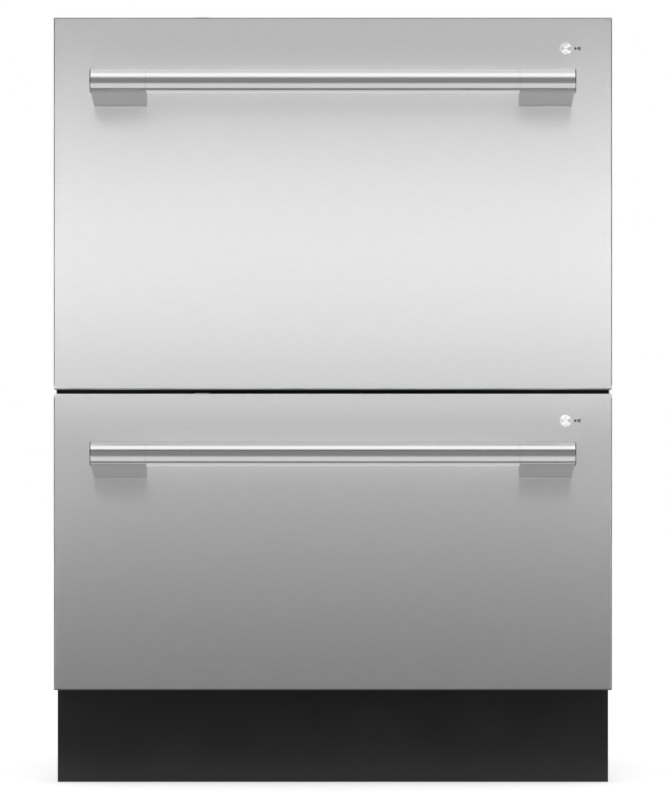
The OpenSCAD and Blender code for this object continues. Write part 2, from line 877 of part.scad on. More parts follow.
module tub(k) {
    z0 = floor_z[k];
    depth = rim_z[k] - z0;
    ledge = 10;
    ledge_depth = 2.5;
    pillar_r = 9;
    runner_pad_y0 = rail_front_y + 10;
    runner_pad_y1 = tub_back_y - 60;
    runner_pad_w = inner_x - rail_gap - tub_w / 2;
    runner_pad_h = 24;
    front_pad = [30, tub_front_y - housing_back_y + 1, 60];
    color("whitesmoke")
    difference() {
        union() {
            translate([0, tub_mid_y, z0 - tub_wall])
                chamfered_slab(tub_w, tub_d, depth + tub_wall, tub_r, tub_chamfer);
            // Rim flange, flush with the back of the front housing
            translate([0, tub_mid_y, rim_z[k] - rim_t])
                rounded_slab(tub_w + 2 * rim_flange, tub_d + 2 * rim_flange, rim_t, tub_r + rim_flange);
            translate([0, tub_mid_y, z0 - sump_depth - tub_wall])
                cylinder(h = sump_depth + 1, r = sump_r + tub_wall);
            translate([0, tub_mid_y, z0 - well_depth - tub_wall])
                cylinder(h = well_depth, r = well_r + tub_wall);
            // Pads that the runners are screwed to
            for (s = [0, 1])
                mirror([s, 0, 0])
                    translate([tub_w / 2 - 1, runner_pad_y0, rail_z[k] - runner_pad_h / 2])
                        cube([runner_pad_w + 1, runner_pad_y1 - runner_pad_y0, runner_pad_h]);
            // Pads that carry the front housing
            for (x = [-200, 170])
                translate([x, housing_back_y, z0 + 20])
                    cube(front_pad);
        }
        difference() {
            translate([0, tub_mid_y, z0])
                chamfered_slab(
                    tub_w - 2 * tub_wall, tub_d - 2 * tub_wall, depth + cut,
                    tub_r - tub_wall, tub_chamfer - 1);
            // Pillars that the basket stands on
            for (x = [-205, 205], y = [-165, 165])
                translate([x, tub_mid_y + y, z0 - 1])
                    cylinder(h = support_h + 1, r = pillar_r);
        }
        // The filter plate lies on a ledge round the sump, whose well holds the motor's seal
        translate([0, tub_mid_y, z0 - ledge_depth])
            cylinder(h = ledge_depth + tub_wall, r = sump_r);
        translate([0, tub_mid_y, z0 - sump_depth])
            cylinder(h = sump_depth, r = sump_r - ledge);
        translate([0, tub_mid_y, z0 - well_depth])
            cylinder(h = well_depth, r = well_r);
        translate([0, tub_mid_y, z0 - well_depth - 2 * tub_wall])
            cylinder(h = well_depth + tub_wall, r = shaft_r + 0.5);
        translate([dispenser_x, tub_front_y - cut, dispenser_z[k]])
            cube([dispenser_w, tub_wall + 2 * cut, dispenser_h]);
    }
}

// Wash motor and pump under the tub, with the shaft that the spray arm turns on
module wash_motor(k) {
    bottom = floor_z[k] - motor_below_floor;
    body_r = 56;
    groove = [6, 5, motor_h - 12];
    spout_r = 11;
    spout_y = 90;
    color("darkslategray")
    translate([0, tub_mid_y, bottom]) {
        difference() {
            cylinder(h = motor_h, r = body_r);
            for (a = [0:30:330])
                rotate([0, 0, a])
                    translate([body_r, 0, motor_h / 2])
                        cube(groove, center = true);
        }
        cylinder(h = motor_below_floor + 18, r = shaft_r);
        // Drain spout
        translate([0, body_r / 2, motor_h / 2])
            rotate([-90, 0, 0])
                cylinder(h = spout_y - body_r / 2, r = spout_r);
    }
}

module filter_plate(k) {
    sieve_t = 2.5;
    centre_hole_r = 34;
    cup_x = -97;
    cup_r = 22;
    cup_depth = 9;
    cup_floor = 1.5;
    brim = 3;
    brim_t = 1.2;
    grip_t = 3;
    slot = [11, 3];
    ring_r = [52, 70, 88, 106, 124, 138];
    slots = [16, 22, 28, 34, 40, 44];
    color("lightgray")
    translate([0, tub_mid_y, floor_z[k] - sieve_t]) {
        linear_extrude(sieve_t)
            difference() {
                circle(sump_r - 0.4);
                circle(centre_hole_r);
                translate([cup_x, 0])
                    circle(cup_r);
                for (ring = [0:5], i = [0:slots[ring] - 1]) {
                    a = i * 360 / slots[ring];
                    if (norm(ring_r[ring] * [cos(a), sin(a)] - [cup_x, 0]) > cup_r + 10)
                        rotate(a)
                            translate([ring_r[ring], 0])
                                square(slot, center = true);
                }
            }
        // Removable drain filter cup
        translate([cup_x, 0, -cup_depth])
            difference() {
                union() {
                    cylinder(h = cup_depth + sieve_t, r = cup_r - 0.2);
                    translate([0, 0, cup_depth + sieve_t])
                        cylinder(h = brim_t, r = cup_r + brim);
                }
                translate([0, 0, cup_floor])
                    cylinder(h = 2 * cup_depth, r = cup_r - 2);
            }
        // Grip across the cup
        translate([cup_x - grip_t / 2, -cup_r + 1.5, 2 - cup_depth])
            cube([grip_t, 2 * cup_r - 3, cup_depth]);
    }
}

// Two-bladed arm with nozzles and a round cap over the shaft
module spray_arm(k) {
    tip_x = 200;
    tip_r = 16;
    arm_h = 12;
    hub_r = 36;
    skirt_r = 24;
    cap_h = 5;
    sink = 0.5;
    color("gainsboro")
    translate([0, tub_mid_y, floor_z[k] + 6])
        difference() {
            union() {
                linear_extrude(arm_h)
                    union() {
                        circle(hub_r);
                        for (a = [0, 180])
                            rotate(a) {
                                polygon([[0, 30], [tip_x, tip_r], [tip_x, -tip_r], [0, -34]]);
                                translate([tip_x, 0])
                                    circle(tip_r);
                            }
                    }
                translate([0, 0, -4])
                    cylinder(h = 5, r = skirt_r);
                translate([0, 0, arm_h - sink])
                    cylinder(h = cap_h + sink, r1 = 30, r2 = 20);
                // Nozzles, staggered along each blade
                for (a = [0, 180], i = [0:4])
                    rotate(a)
                        translate([62 + 32 * i, 7 - 3.5 * i, arm_h - sink])
                            cylinder(h = 1.5 + sink, r1 = 5, r2 = 3.5);
            }
            translate([0, 0, -10])
                cylinder(h = 24, r = shaft_r + run_fit);
        }
}

// ---------- Detergent dispenser ----------

module dispenser(k) {
    flange = 6;
    body_d = 22;
    lip = 4;
    lip_t = 1.4;
    overhang = 2;
    gap_y = dispenser_y + plate_t + cover_t + 2 * slack;
    color("white")
    translate([dispenser_x, 0, dispenser_z[k]])
        difference() {
            union() {
                translate([slack, dispenser_y - body_d, slack])
                    cube([dispenser_w - 2 * slack, body_d + 1, dispenser_h - 2 * slack]);
                translate([-flange, dispenser_y, -flange])
                    cube([dispenser_w + 2 * flange, plate_t, dispenser_h + 2 * flange]);
                // Guides that hold the sliding cover by its long edges
                for (z = [guide_z - lip, guide_z + cover_h])
                    translate([2, dispenser_y + plate_t - 0.5, z])
                        cube([dispenser_w - 4, gap_y + lip_t - dispenser_y - plate_t + 0.5, lip]);
                for (z = [guide_z - lip, guide_z + cover_h - overhang])
                    translate([2, gap_y, z])
                        cube([dispenser_w - 4, lip_t, lip + overhang]);
            }
            translate([10 + cup_w / 2, dispenser_y - 18, guide_z + cover_h / 2])
                rotate([-90, 0, 0])
                    rounded_slab(cup_w, cup_h, 30, 12);
        }
}

module dispenser_cover(k) {
    y0 = dispenser_y + plate_t + slack;
    edge_gap = 0.2;
    ridge_w = 4;
    ridge_margin = 12;
    color("gray")
    translate([dispenser_x + 6, y0, dispenser_z[k] + guide_z + edge_gap]) {
        cube([cover_w, cover_t, cover_h - 2 * edge_gap]);
        // Finger ridge
        translate([cover_w - 10, 0, ridge_margin])
            cube([ridge_w, cover_t + 4, cover_h - 2 * ridge_margin]);
    }
}

// ---------- Baskets ----------

module plate_tine(x, i, z0) {
    translate([x, tub_mid_y + tine_pitch * (i + 0.5), z0 + tine_h / 2])
        wire_z(tine_h, wire_r);
}

// Welded floor grid with the clips of the folding row, and two rows of upright tines,
// each tine welded on a long wire midway between two cross wires
module basket_floor(k) {
    zf = basket_z[k];
    zc = cross_wire_z[k];
    reach_x = basket_x - wire_r - slack;
    reach_y = basket_half_d - wire_r - slack;
    weld_gap = 0.02;
    clip_w = 8;
    color("lightslategray") {
        translate([0, tub_mid_y, 0])
            difference() {
                union() {
                    for (i = [-4:4])
                        translate([long_pitch * i, 0, zf])
                            wire_y(2 * reach_y, wire_r);
                    for (i = [-8:8])
                        translate([0, tine_pitch * i, zc])
                            wire_x(2 * reach_x, wire_r);
                    for (i = [-4, 4])
                        translate([folding_x, tine_pitch * i, tine_hinge_z[k]])
                            rotate([90, 0, 0])
                                cylinder(h = clip_w, r = clip_r, center = true);
                }
                for (i = [-4, 4])
                    translate([folding_x, tine_pitch * i, tine_hinge_z[k]])
                        rotate([90, 0, 0])
                            cylinder(h = 2 * clip_w, r = hinge_r + run_fit, center = true);
            }
        for (x = fixed_tine_x, i = [-6:5])
            plate_tine(x, i, zf + wire_flat + weld_gap);
    }
}

module folding_tines(k) {
    color("slategray")
    union() {
        for (i = [-6:5])
            plate_tine(folding_x, i, tine_hinge_z[k]);
        translate([folding_x, tub_mid_y, tine_hinge_z[k]])
            rotate([90, 0, 0])
                cylinder(h = 12 * tine_pitch, r = hinge_r, center = true);
    }
}

// One side of the basket, upright in the XZ plane and centred on x = 0, with its foot on z = 0
module wire_wall(len, h) {
    count = floor((len / 2 - 10) / wire_pitch);
    for (z = [wire_r, h / 2])
        translate([0, 0, z])
            wire_x(len, wire_r);
    translate([0, 0, h])
        wire_x(len, rim_wire_r);
    for (i = [-count:count])
        translate([wire_pitch * i, 0, h / 2])
            wire_z(h, wire_r);
    for (x = [-len / 2 + wire_r, len / 2 - wire_r])
        translate([x, 0, h / 2])
            wire_z(h, wire_r);
}

module basket_sides(k) {
    h = basket_wall_h[k];
    z0 = basket_z[k] - wire_flat;
    front_len = 2 * (basket_x - rim_wire_r) - 1;
    side_len = 2 * (basket_half_d + rim_wire_r);
    clip_w = 8;
    clip_y = [0, 160];
    color("lightslategray")
    translate([0, tub_mid_y, z0]) {
        for (y = [-basket_half_d, basket_half_d])
            translate([0, y, 0])
                wire_wall(front_len, h);
        translate([-basket_x, 0, 0])
            rotate([0, 0, 90])
                wire_wall(side_len, h);
        difference() {
            union() {
                translate([basket_x, 0, 0])
                    rotate([0, 0, 90])
                        wire_wall(side_len, h);
                if (k == UPPER)
                    for (y = clip_y)
                        translate([rack_hinge_x, y, rack_hinge_z - z0])
                            rotate([90, 0, 0])
                                cylinder(h = clip_w, r = clip_r, center = true);
            }
            if (k == UPPER)
                for (y = clip_y)
                    translate([rack_hinge_x, y, rack_hinge_z - z0])
                        rotate([90, 0, 0])
                            cylinder(h = 2 * clip_w, r = hinge_r + run_fit, center = true);
        }
    }
}

// Fold-up shelf for cups, hinged on the right side of the basket
module cup_rack() {
    y0 = tub_mid_y - 24;
    len = 208;
    cross_pitch = 22;
    thin_r = wire_r * 0.8;
    color("slategray")
    translate([rack_hinge_x, y0 + len / 2, rack_hinge_z]) {
        rotate([90, 0, 0])
            cylinder(h = len, r = hinge_r, center = true);
        for (y = [-len / 2 + wire_r, len / 2 - wire_r])
            translate([-rack_reach / 2, y, 0])
                wire_x(rack_reach, wire_r);
        for (i = [-4:4])
            translate([-rack_reach / 2, cross_pitch * i, 0])
                wire_x(rack_reach, thin_r);
        for (x = [-rack_reach, -rack_reach / 2])
            translate([x, 0, 0])
                wire_y(len, wire_r);
    }
}

module cutlery_basket() {
    w = 70;
    d = 142;
    h = 104;
    wall = 2;
    slot_w = 8;
    slot_z = 16;
    slot_h = h - 34;
    x0 = basket_x - wire_r - 4 - w;
    y0 = tub_mid_y - basket_half_d + 8;
    z0 = cross_wire_z[UPPER] + wire_flat + 0.1;
    color("dimgray")
    translate([x0, y0, z0])
        difference() {
            translate([w / 2, d / 2, 0])
                rounded_slab(w, d, h, 8);
            for (y = [wall, (d + wall) / 2])
                translate([wall, y, wall])
                    cube([w - 2 * wall, (d - 3 * wall) / 2, h]);
            for (y = [12, 32, 52, d - 60, d - 40, d - 20])
                translate([-cut, y, slot_z])
                    cube([w + 2 * cut, slot_w, slot_h]);
            for (x = [17, 43])
                translate([x, -cut, slot_z])
                    cube([slot_w, d + 2 * cut, slot_h]);
        }
}

// ---------- Assembly ----------

side_panel(LEFT);  // left_side_panel
side_panel(RIGHT);  // right_side_panel
top_panel();
rear_panel();
base_pan();
middle_cross_rail();
kick_panel();
leg_sockets();
hose_outlet();
lid_actuators();
foot(-leg_x, leg_front_y);  // front_left_foot
foot(leg_x, leg_front_y);  // front_right_foot
foot(-leg_x, leg_rear_y);  // rear_left_foot
foot(leg_x, leg_rear_y);  // rear_right_foot
outer_rails(UPPER);  // upper_outer_rails
outer_rails(LOWER);  // lower_outer_rails
mid_rail(UPPER, LEFT);  // upper_left_mid_rail
mid_rail(UPPER, RIGHT);  // upper_right_mid_rail
mid_rail(LOWER, LEFT);  // lower_left_mid_rail
mid_rail(LOWER, RIGHT);  // lower_right_mid_rail
inner_rails(UPPER);  // upper_inner_rails
inner_rails(LOWER);  // lower_inner_rails
lid(UPPER);  // upper_lid
lid(LOWER);  // lower_lid
lid_seal(UPPER);  // upper_lid_seal
lid_seal(LOWER);  // lower_lid_seal
front_panel(UPPER);  // upper_front_panel
front_panel(LOWER);  // lower_front_panel
front_housing(UPPER);  // upper_front_housing
front_housing(LOWER);  // lower_front_housing
control_strip(UPPER);  // upper_control_strip
control_strip(LOWER);  // lower_control_strip
power_key(UPPER);  // upper_power_key
power_key(LOWER);  // lower_power_key
start_button(UPPER);  // upper_start_button
start_button(LOWER);  // lower_start_button
handle_bar(UPPER);  // upper_handle_bar
handle_bar(LOWER);  // lower_handle_bar
handle_posts(UPPER);  // upper_handle_posts
handle_posts(LOWER);  // lower_handle_posts
tub(UPPER);  // upper_tub
tub(LOWER);  // lower_tub
wash_motor(UPPER);  // upper_wash_motor
wash_motor(LOWER);  // lower_wash_motor
filter_plate(UPPER);  // upper_filter_plate
filter_plate(LOWER);  // lower_filter_plate
spray_arm(UPPER);  // upper_spray_arm
spray_arm(LOWER);  // lower_spray_arm
dispenser(UPPER);  // upper_dispenser
dispenser(LOWER);  // lower_dispenser
dispenser_cover(UPPER);  // upper_dispenser_cover
dispenser_cover(LOWER);  // lower_dispenser_cover
basket_floor(UPPER);  // upper_basket_floor
basket_floor(LOWER);  // lower_basket_floor
basket_sides(UPPER);  // upper_basket_sides
basket_sides(LOWER);  // lower_basket_sides
folding_tines(UPPER);  // upper_folding_tines
folding_tines(LOWER);  // lower_folding_tines
cup_rack();  // upper_cup_rack
cutlery_basket();  // upper_cutlery_basket
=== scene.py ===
# %% [markdown]
# # A double drawer dishwasher, dressed for the camera
# The solids of the appliance come from the CAD model. This lesson gives them their finishes,
# adds the pieces that are too fine for the CAD model, and sets up a plain photo studio. All
# lengths are metres: X runs to the viewer's right, the drawer fronts face -Y and Z is up.

# %% Load the solids
import json
import math

import bpy
import numpy as np
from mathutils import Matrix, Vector


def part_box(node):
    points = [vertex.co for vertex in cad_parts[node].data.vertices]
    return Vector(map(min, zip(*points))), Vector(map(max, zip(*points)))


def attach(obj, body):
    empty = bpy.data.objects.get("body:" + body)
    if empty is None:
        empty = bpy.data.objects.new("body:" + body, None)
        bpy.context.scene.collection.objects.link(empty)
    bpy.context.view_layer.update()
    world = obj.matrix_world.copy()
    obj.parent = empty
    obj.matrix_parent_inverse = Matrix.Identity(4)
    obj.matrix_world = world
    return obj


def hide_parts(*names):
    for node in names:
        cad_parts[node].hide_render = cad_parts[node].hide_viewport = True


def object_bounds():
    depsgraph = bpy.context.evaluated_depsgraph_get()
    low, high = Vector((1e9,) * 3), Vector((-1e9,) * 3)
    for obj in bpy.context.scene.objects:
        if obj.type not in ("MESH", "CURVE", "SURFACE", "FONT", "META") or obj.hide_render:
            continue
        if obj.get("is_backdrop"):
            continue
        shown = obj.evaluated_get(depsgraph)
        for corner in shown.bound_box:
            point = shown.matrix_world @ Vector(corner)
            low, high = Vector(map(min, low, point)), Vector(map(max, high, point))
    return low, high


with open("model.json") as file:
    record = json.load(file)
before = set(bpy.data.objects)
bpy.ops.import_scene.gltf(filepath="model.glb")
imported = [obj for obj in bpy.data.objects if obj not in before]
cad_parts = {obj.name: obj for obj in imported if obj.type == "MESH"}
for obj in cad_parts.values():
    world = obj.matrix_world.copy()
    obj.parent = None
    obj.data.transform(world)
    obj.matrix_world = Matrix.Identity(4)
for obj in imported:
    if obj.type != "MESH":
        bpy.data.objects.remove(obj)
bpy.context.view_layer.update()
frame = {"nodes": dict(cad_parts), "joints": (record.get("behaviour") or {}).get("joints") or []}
nodes = frame["nodes"]
scene = bpy.context.scene
DRAWERS = ("upper", "lower")
hinge_at = {joint["name"]: joint["pos_m"] for joint in frame["joints"] if joint["type"] == "hinge"}


def middle(solid):
    """The middle of a solid's box: half the sum of its lowest and its highest corner."""
    low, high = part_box(solid)
    return (low + high) / 2


# %% [markdown]
# ## The camera
# The photograph is taken square on with a long lens, so the fronts are true rectangles and the
# sides can't be seen. A camera 7 m in front of the fronts, level with the middle of the picture,
# gives the same view. The long side of the picture is the sensor's 36 mm.

# %% Camera
FRONT_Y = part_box("upper_front_panel")[0].y
CAMERA_DISTANCE = 7.0
CAMERA_X, CAMERA_Z = 0.00064, 0.4122
PICTURE_HEIGHT = 0.8552  # what the picture's height spans on the plane of the fronts
SENSOR = 36.0  # millimetres

lens = bpy.data.cameras.new("camera")
lens.sensor_width = SENSOR
lens.lens = SENSOR * CAMERA_DISTANCE / PICTURE_HEIGHT
lens.clip_end = 100.0
camera = bpy.data.objects.new("camera", lens)
camera.location = (CAMERA_X, FRONT_Y - CAMERA_DISTANCE, CAMERA_Z)
camera.rotation_euler = (math.radians(90), 0, 0)
scene.collection.objects.link(camera)
scene.camera = camera
scene.view_settings.view_transform = "Standard"
print("lens of", round(lens.lens, 1), "mm")

# %% [markdown]
# ## Helpers for finishes
# A finish is a small tree of shader nodes. Every finish here starts in the same way, with a
# Principled shader whose plain values sit on its own sockets. Patterns are then read from the
# object's own coordinates, so that they stay on the piece when it moves.

# %% Finish helpers
def start_finish(name, base, roughness, metallic=0.0, **sockets):
    """A new material and its Principled shader, with plain values on the shader's own sockets."""
    finish = bpy.data.materials.new(name)
    finish.use_nodes = True
    shader = finish.node_tree.nodes["Principled BSDF"]
    shader.inputs["Base Color"].default_value = (*base, 1.0)
    shader.inputs["Roughness"].default_value = roughness
    shader.inputs["Metallic"].default_value = metallic
    for socket, value in sockets.items():
        shader.inputs[socket.replace("_", " ")].default_value = value
    return finish, shader


def pattern(finish, kind, stretch=(1, 1, 1), **settings):
    """A texture node of that kind, read from object coordinates stretched along each axis."""
    tree = finish.node_tree
    place = tree.nodes.new("ShaderNodeTexCoord")
    mapping = tree.nodes.new("ShaderNodeMapping")
    mapping.inputs["Scale"].default_value = stretch
    texture = tree.nodes.new(kind)
    tree.links.new(place.outputs["Object"], mapping.inputs["Vector"])
    tree.links.new(mapping.outputs["Vector"], texture.inputs["Vector"])
    for socket, value in settings.items():
        texture.inputs[socket.replace("_", " ")].default_value = value
    return texture


def ramp(finish, source, low, high, to_low, to_high):
    """Maps a pattern's value from low..high to to_low..to_high, and holds it at both ends."""
    tree = finish.node_tree
    node = tree.nodes.new("ShaderNodeMapRange")
    for socket, value in (("From Min", low), ("From Max", high), ("To Min", to_low), ("To Max", to_high)):
        node.inputs[socket].default_value = value
    tree.links.new(source, node.inputs["Value"])
    return node.outputs["Result"]


def tint(finish, source, dark, light):
    """A colour that runs from dark to light with a pattern's value."""
    tree = finish.node_tree
    node = tree.nodes.new("ShaderNodeMix")
    node.data_type = "RGBA"
    node.inputs["A"].default_value = (*dark, 1.0)
    node.inputs["B"].default_value = (*light, 1.0)
    tree.links.new(source, node.inputs["Factor"])
    return node.outputs["Result"]


def relief(finish, shader, height, distance):
    """Lets a pattern's value tilt the surface, as if it rose by that distance in metres."""
    tree = finish.node_tree
    bump = tree.nodes.new("ShaderNodeBump")
    bump.inputs["Distance"].default_value = distance
    tree.links.new(height, bump.inputs["Height"])
    tree.links.new(bump.outputs["Normal"], shader.inputs["Normal"])


def wear(base, amount):
    """The darker and the lighter of two close shades of a colour."""
    return tuple(c * (1 - amount) for c in base), tuple(min(1.0, c * (1 + amount)) for c in base)


print("helpers ready")

# %% [markdown]
# ## Painted shade that follows the form
# Some metal gets painted shade on its folded edges and cut faces, for the dark that they reflect.
# Where that is can be read from the direction of the surface: the three numbers of its normal say
# how far it faces along each axis. Shader nodes can calculate with them, and a Mix node set to
# multiply then darkens the colour there.

# %% Painted shade by direction and place
def calculate(tree, operation, *values):
    """The result of a Math node, whose values are sockets or plain numbers."""
    node = tree.nodes.new("ShaderNodeMath")
    node.operation = operation
    for value, socket in zip(values, node.inputs):
        if isinstance(value, float):
            socket.default_value = value
        else:
            tree.links.new(value, socket)
    return node.outputs["Value"]


def coordinate(tree, kind, axis):
    """One number of the surface's place, which is kind "Object", or of its normal."""
    place = tree.nodes.new("ShaderNodeTexCoord")
    split = tree.nodes.new("ShaderNodeSeparateXYZ")
    tree.links.new(place.outputs[kind], split.inputs["Vector"])
    return split.outputs[axis]


def darken(tree, colour, share, shade):
    """A colour times shade where the share is 1, and the plain colour where it is 0."""
    node = tree.nodes.new("ShaderNodeMix")
    node.data_type = "RGBA"
    node.blend_type = "MULTIPLY"
    node.inputs["B"].default_value = (shade, shade, shade, 1.0)
    tree.links.new(share, node.inputs["Factor"])
    tree.links.new(colour, node.inputs["A"])
    return node.outputs["Result"]


GAP_Z = (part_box("upper_front_panel")[0].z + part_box("lower_front_panel")[1].z) / 2
GAP_NEAR, GAP_FAR = 0.004, 0.008


def painted_edge_shade(finish, axis, colour, shade):
    """Painted shade: a colour times shade on the rounded edges beside the faces that point along an
    axis, for the dark that a bent edge reflects. The normal's share n along the axis is 1 on the face
    and 0 on its neighbour, and the shade rises and falls between them as a hat over n. The edges by
    the gap are spared the painted shade, where the two fronts light each other."""
    tree = finish.node_tree
    facing = calculate(tree, "ABSOLUTE", coordinate(tree, "Normal", axis))
    hat = calculate(tree, "MINIMUM", ramp(finish, facing, 0.02, 0.2, 0, 1),
                    ramp(finish, facing, 0.9, 0.99, 1, 0))
    off_gap = calculate(tree, "ABSOLUTE", calculate(tree, "SUBTRACT", coordinate(tree, "Object", "Z"), GAP_Z))
    share = calculate(tree, "MULTIPLY", hat, ramp(finish, off_gap, GAP_NEAR, GAP_FAR, 0, 1))
    return darken(tree, colour, share, shade)


def painted_side_shade(finish, colour, shade):
    """Painted shade: a colour times shade on the faces whose normal points along X, for the dark that they
    reflect.
    """
    tree = finish.node_tree
    facing = calculate(tree, "ABSOLUTE", coordinate(tree, "Normal", "X"))
    return darken(tree, colour, ramp(finish, facing, 0.95, 0.98, 0, 1), shade)


print("shades ready, and the gap is at", round(GAP_Z, 4))

# %% [markdown]
# ## Brushed stainless steel
# The drawer fronts are stainless sheet brushed from side to side. The fine grooves spread every
# reflection up and down but hardly sideways. Millions of grooves can't be modelled, so the
# shader's anisotropy does this, with its tangent turned about the X axis, across the grooves. A
# noise stretched along the grain varies the roughness a little and gives the faint streaks that
# are seen from close by.

# %% Brushed steel
PAINTED_EDGE_SHADE = 0.22  # painted shade: an edge's colour is darkened to this share, for the dark that it reflects


def brushed(name, base, roughness, grain, anisotropy=0.7, streaks=0.03, depth=2e-6, edges="",
            turned_about="X", quarter_turns=0, sides=1.0):
    """Metal brushed along X: a noise that is long in X and fine in Y and Z. The highlight spreads
    along the direction that turns about the X axis, or another one, or a quarter turn off it."""
    finish, shader = start_finish(name, base, roughness, 1.0, Anisotropic=anisotropy)
    tree = finish.node_tree
    tangent = tree.nodes.new("ShaderNodeTangent")
    tangent.direction_type = "RADIAL"
    tangent.axis = turned_about
    tree.links.new(tangent.outputs["Tangent"], shader.inputs["Tangent"])
    shader.inputs["Anisotropic Rotation"].default_value = quarter_turns / 4
    lines = pattern(finish, "ShaderNodeTexNoise", grain, Scale=1.0, Detail=4.0, Roughness=0.6)
    value = lines.outputs["Fac"]
    tree.links.new(ramp(finish, value, 0.3, 0.7, roughness - streaks, roughness + streaks),
                   shader.inputs["Roughness"])
    dark, light = wear(base, 0.02)
    colour = tint(finish, ramp(finish, value, 0.3, 0.7, 0, 1), dark, light)
    # painted shade on the rounded edges, and with sides below 1 on the faces along X
    if edges:
        colour = painted_edge_shade(finish, edges, colour, PAINTED_EDGE_SHADE)
    if sides < 1:
        colour = painted_side_shade(finish, colour, sides)
    tree.links.new(colour, shader.inputs["Base Color"])
    relief(finish, shader, value, depth)
    return finish


# the fronts get painted shade on their rounded edges
steel = brushed("stainless_steel", (0.74, 0.74, 0.735), 0.30, (60, 450, 450),
                streaks=0.014, depth=3e-7, edges="Y")
# the handles get painted shade on their rounded edges and on their faces along X
handle_metal = brushed("handle_metal", (0.63, 0.63, 0.63), 0.2, (6, 700, 700), 0.3, 0.01, 3e-7, "X",
                       sides=0.45)
button_metal = brushed("button_lens", (0.90, 0.905, 0.91), 0.25, (600, 600, 600), 0.95, 0.02, 1e-6,
                       turned_about="Y", quarter_turns=1)
filter_steel = brushed("filter_steel", (0.52, 0.52, 0.515), 0.34, (500, 500, 500), 0.2, 0.03, 1e-6)
print("brushed finishes:", steel.name, handle_metal.name, button_metal.name, filter_steel.name)

# %% [markdown]
# ## Galvanised steel
# The hidden sides, top and back are zinc-coated sheet. Zinc freezes in flat crystals, a
# centimetre or so across, that each shine a little differently. Voronoi cells are the natural
# pattern for crystals that grow until they meet.

# %% Galvanised steel
def galvanised(name, base):
    """Zinc: each Voronoi cell's random value sets its roughness and shade."""
    finish, shader = start_finish(name, base, 0.42, 1.0)
    tree = finish.node_tree
    cells = pattern(finish, "ShaderNodeTexVoronoi", Scale=110.0, Randomness=1.0)
    split = tree.nodes.new("ShaderNodeSeparateColor")
    tree.links.new(cells.outputs["Color"], split.inputs["Color"])
    dark, light = wear(base, 0.05)
    tree.links.new(tint(finish, split.outputs["Red"], dark, light), shader.inputs["Base Color"])
    tree.links.new(ramp(finish, split.outputs["Green"], 0, 1, 0.34, 0.46), shader.inputs["Roughness"])
    ripple = pattern(finish, "ShaderNodeTexNoise", Scale=9.0, Detail=2.0)
    relief(finish, shader, ripple.outputs["Fac"], 0.0004)
    return finish


zinc = galvanised("galvanised_steel", (0.44, 0.45, 0.46))
print("zinc finish:", zinc.name)

# %% [markdown]
# ## Plastics, paint and rubber
# Moulded and painted parts have a fine spark-eroded or orange-peel texture. One function makes
# them all: a fine noise for the texture, and a broad one for the slight clouding of the colour.

# %% Moulded and painted finishes
def moulded(name, base, roughness, texture=1500.0, depth=8e-6, clouding=0.04, **sockets):
    """A fine noise for the texture of the mould, and a broad one that clouds the colour."""
    finish, shader = start_finish(name, base, roughness, **sockets)
    tree = finish.node_tree
    fine = pattern(finish, "ShaderNodeTexNoise", Scale=texture, Detail=2.0)
    broad = pattern(finish, "ShaderNodeTexNoise", Scale=14.0, Detail=3.0)
    dark, light = wear(base, clouding)
    tree.links.new(tint(finish, ramp(finish, broad.outputs["Fac"], 0.35, 0.65, 0, 1), dark, light),
                   shader.inputs["Base Color"])
    tree.links.new(ramp(finish, broad.outputs["Fac"], 0.35, 0.65, roughness - 0.03, roughness + 0.03),
                   shader.inputs["Roughness"])
    relief(finish, shader, fine.outputs["Fac"], depth)
    return finish


black_paint = moulded("black_steel", (0.031, 0.031, 0.033), 0.42, 500.0)
black_plastic = moulded("black_plastic", (0.020, 0.020, 0.021), 0.5)
grey_plastic = moulded("grey_plastic", (0.36, 0.37, 0.38), 0.4)
tub_plastic = moulded("tub_plastic", (0.55, 0.56, 0.57), 0.36, 900.0, 1.2e-5)
white_plastic = moulded("white_plastic", (0.80, 0.81, 0.81), 0.32)
lens_plastic = moulded("key_lens", (0.90, 0.905, 0.91), 0.18, 900.0, 2e-6, 0.02)
seal_rubber = moulded("seal_rubber", (0.10, 0.10, 0.105), 0.62, 700.0, 2e-5)
black_rubber = moulded("black_rubber", (0.025, 0.025, 0.025), 0.65, 700.0, 2e-5)
motor_paint = moulded("motor_body", (0.05, 0.05, 0.055), 0.45, 300.0)
wire_coating = moulded("coated_wire", (0.42, 0.45, 0.48), 0.3, 500.0, 5e-6)
rail_steel = brushed("rail_steel", (0.70, 0.71, 0.72), 0.3, (900, 4, 900), 0.4, 0.03, 2e-6)
print("moulded finishes ready")

# %% [markdown]
# ## Finishes on the solids
# Each solid takes the finish of its kind. The name after "upper_" or "lower_" says what the
# piece is, so one table serves both drawers.

# %% Hand out the finishes
FINISHES = {
    steel: ["front_panel"],
    filter_steel: ["filter_plate"],
    handle_metal: ["handle_bar", "handle_posts"],
    zinc: ["left_side_panel", "right_side_panel", "top_panel", "rear_panel"],
    black_paint: ["middle_cross_rail", "kick_panel"],
    black_plastic: ["base_pan", "leg_sockets", "lid_actuators", "front_housing", "control_strip",
                    "front_left_foot", "front_right_foot", "rear_left_foot", "rear_right_foot"],
    black_rubber: ["hose_outlet"],
    rail_steel: ["outer_rails", "left_mid_rail", "right_mid_rail", "inner_rails"],
    white_plastic: ["lid", "dispenser"],
    seal_rubber: ["lid_seal"],
    lens_plastic: ["power_key"],
    button_metal: ["start_button"],
    tub_plastic: ["tub"],
    motor_paint: ["wash_motor"],
    grey_plastic: ["spray_arm", "dispenser_cover", "cutlery_basket"],
    wire_coating: ["basket_floor", "basket_sides", "folding_tines", "cup_rack"],
}
finish_of = {kind: finish for finish, kinds in FINISHES.items() for kind in kinds}


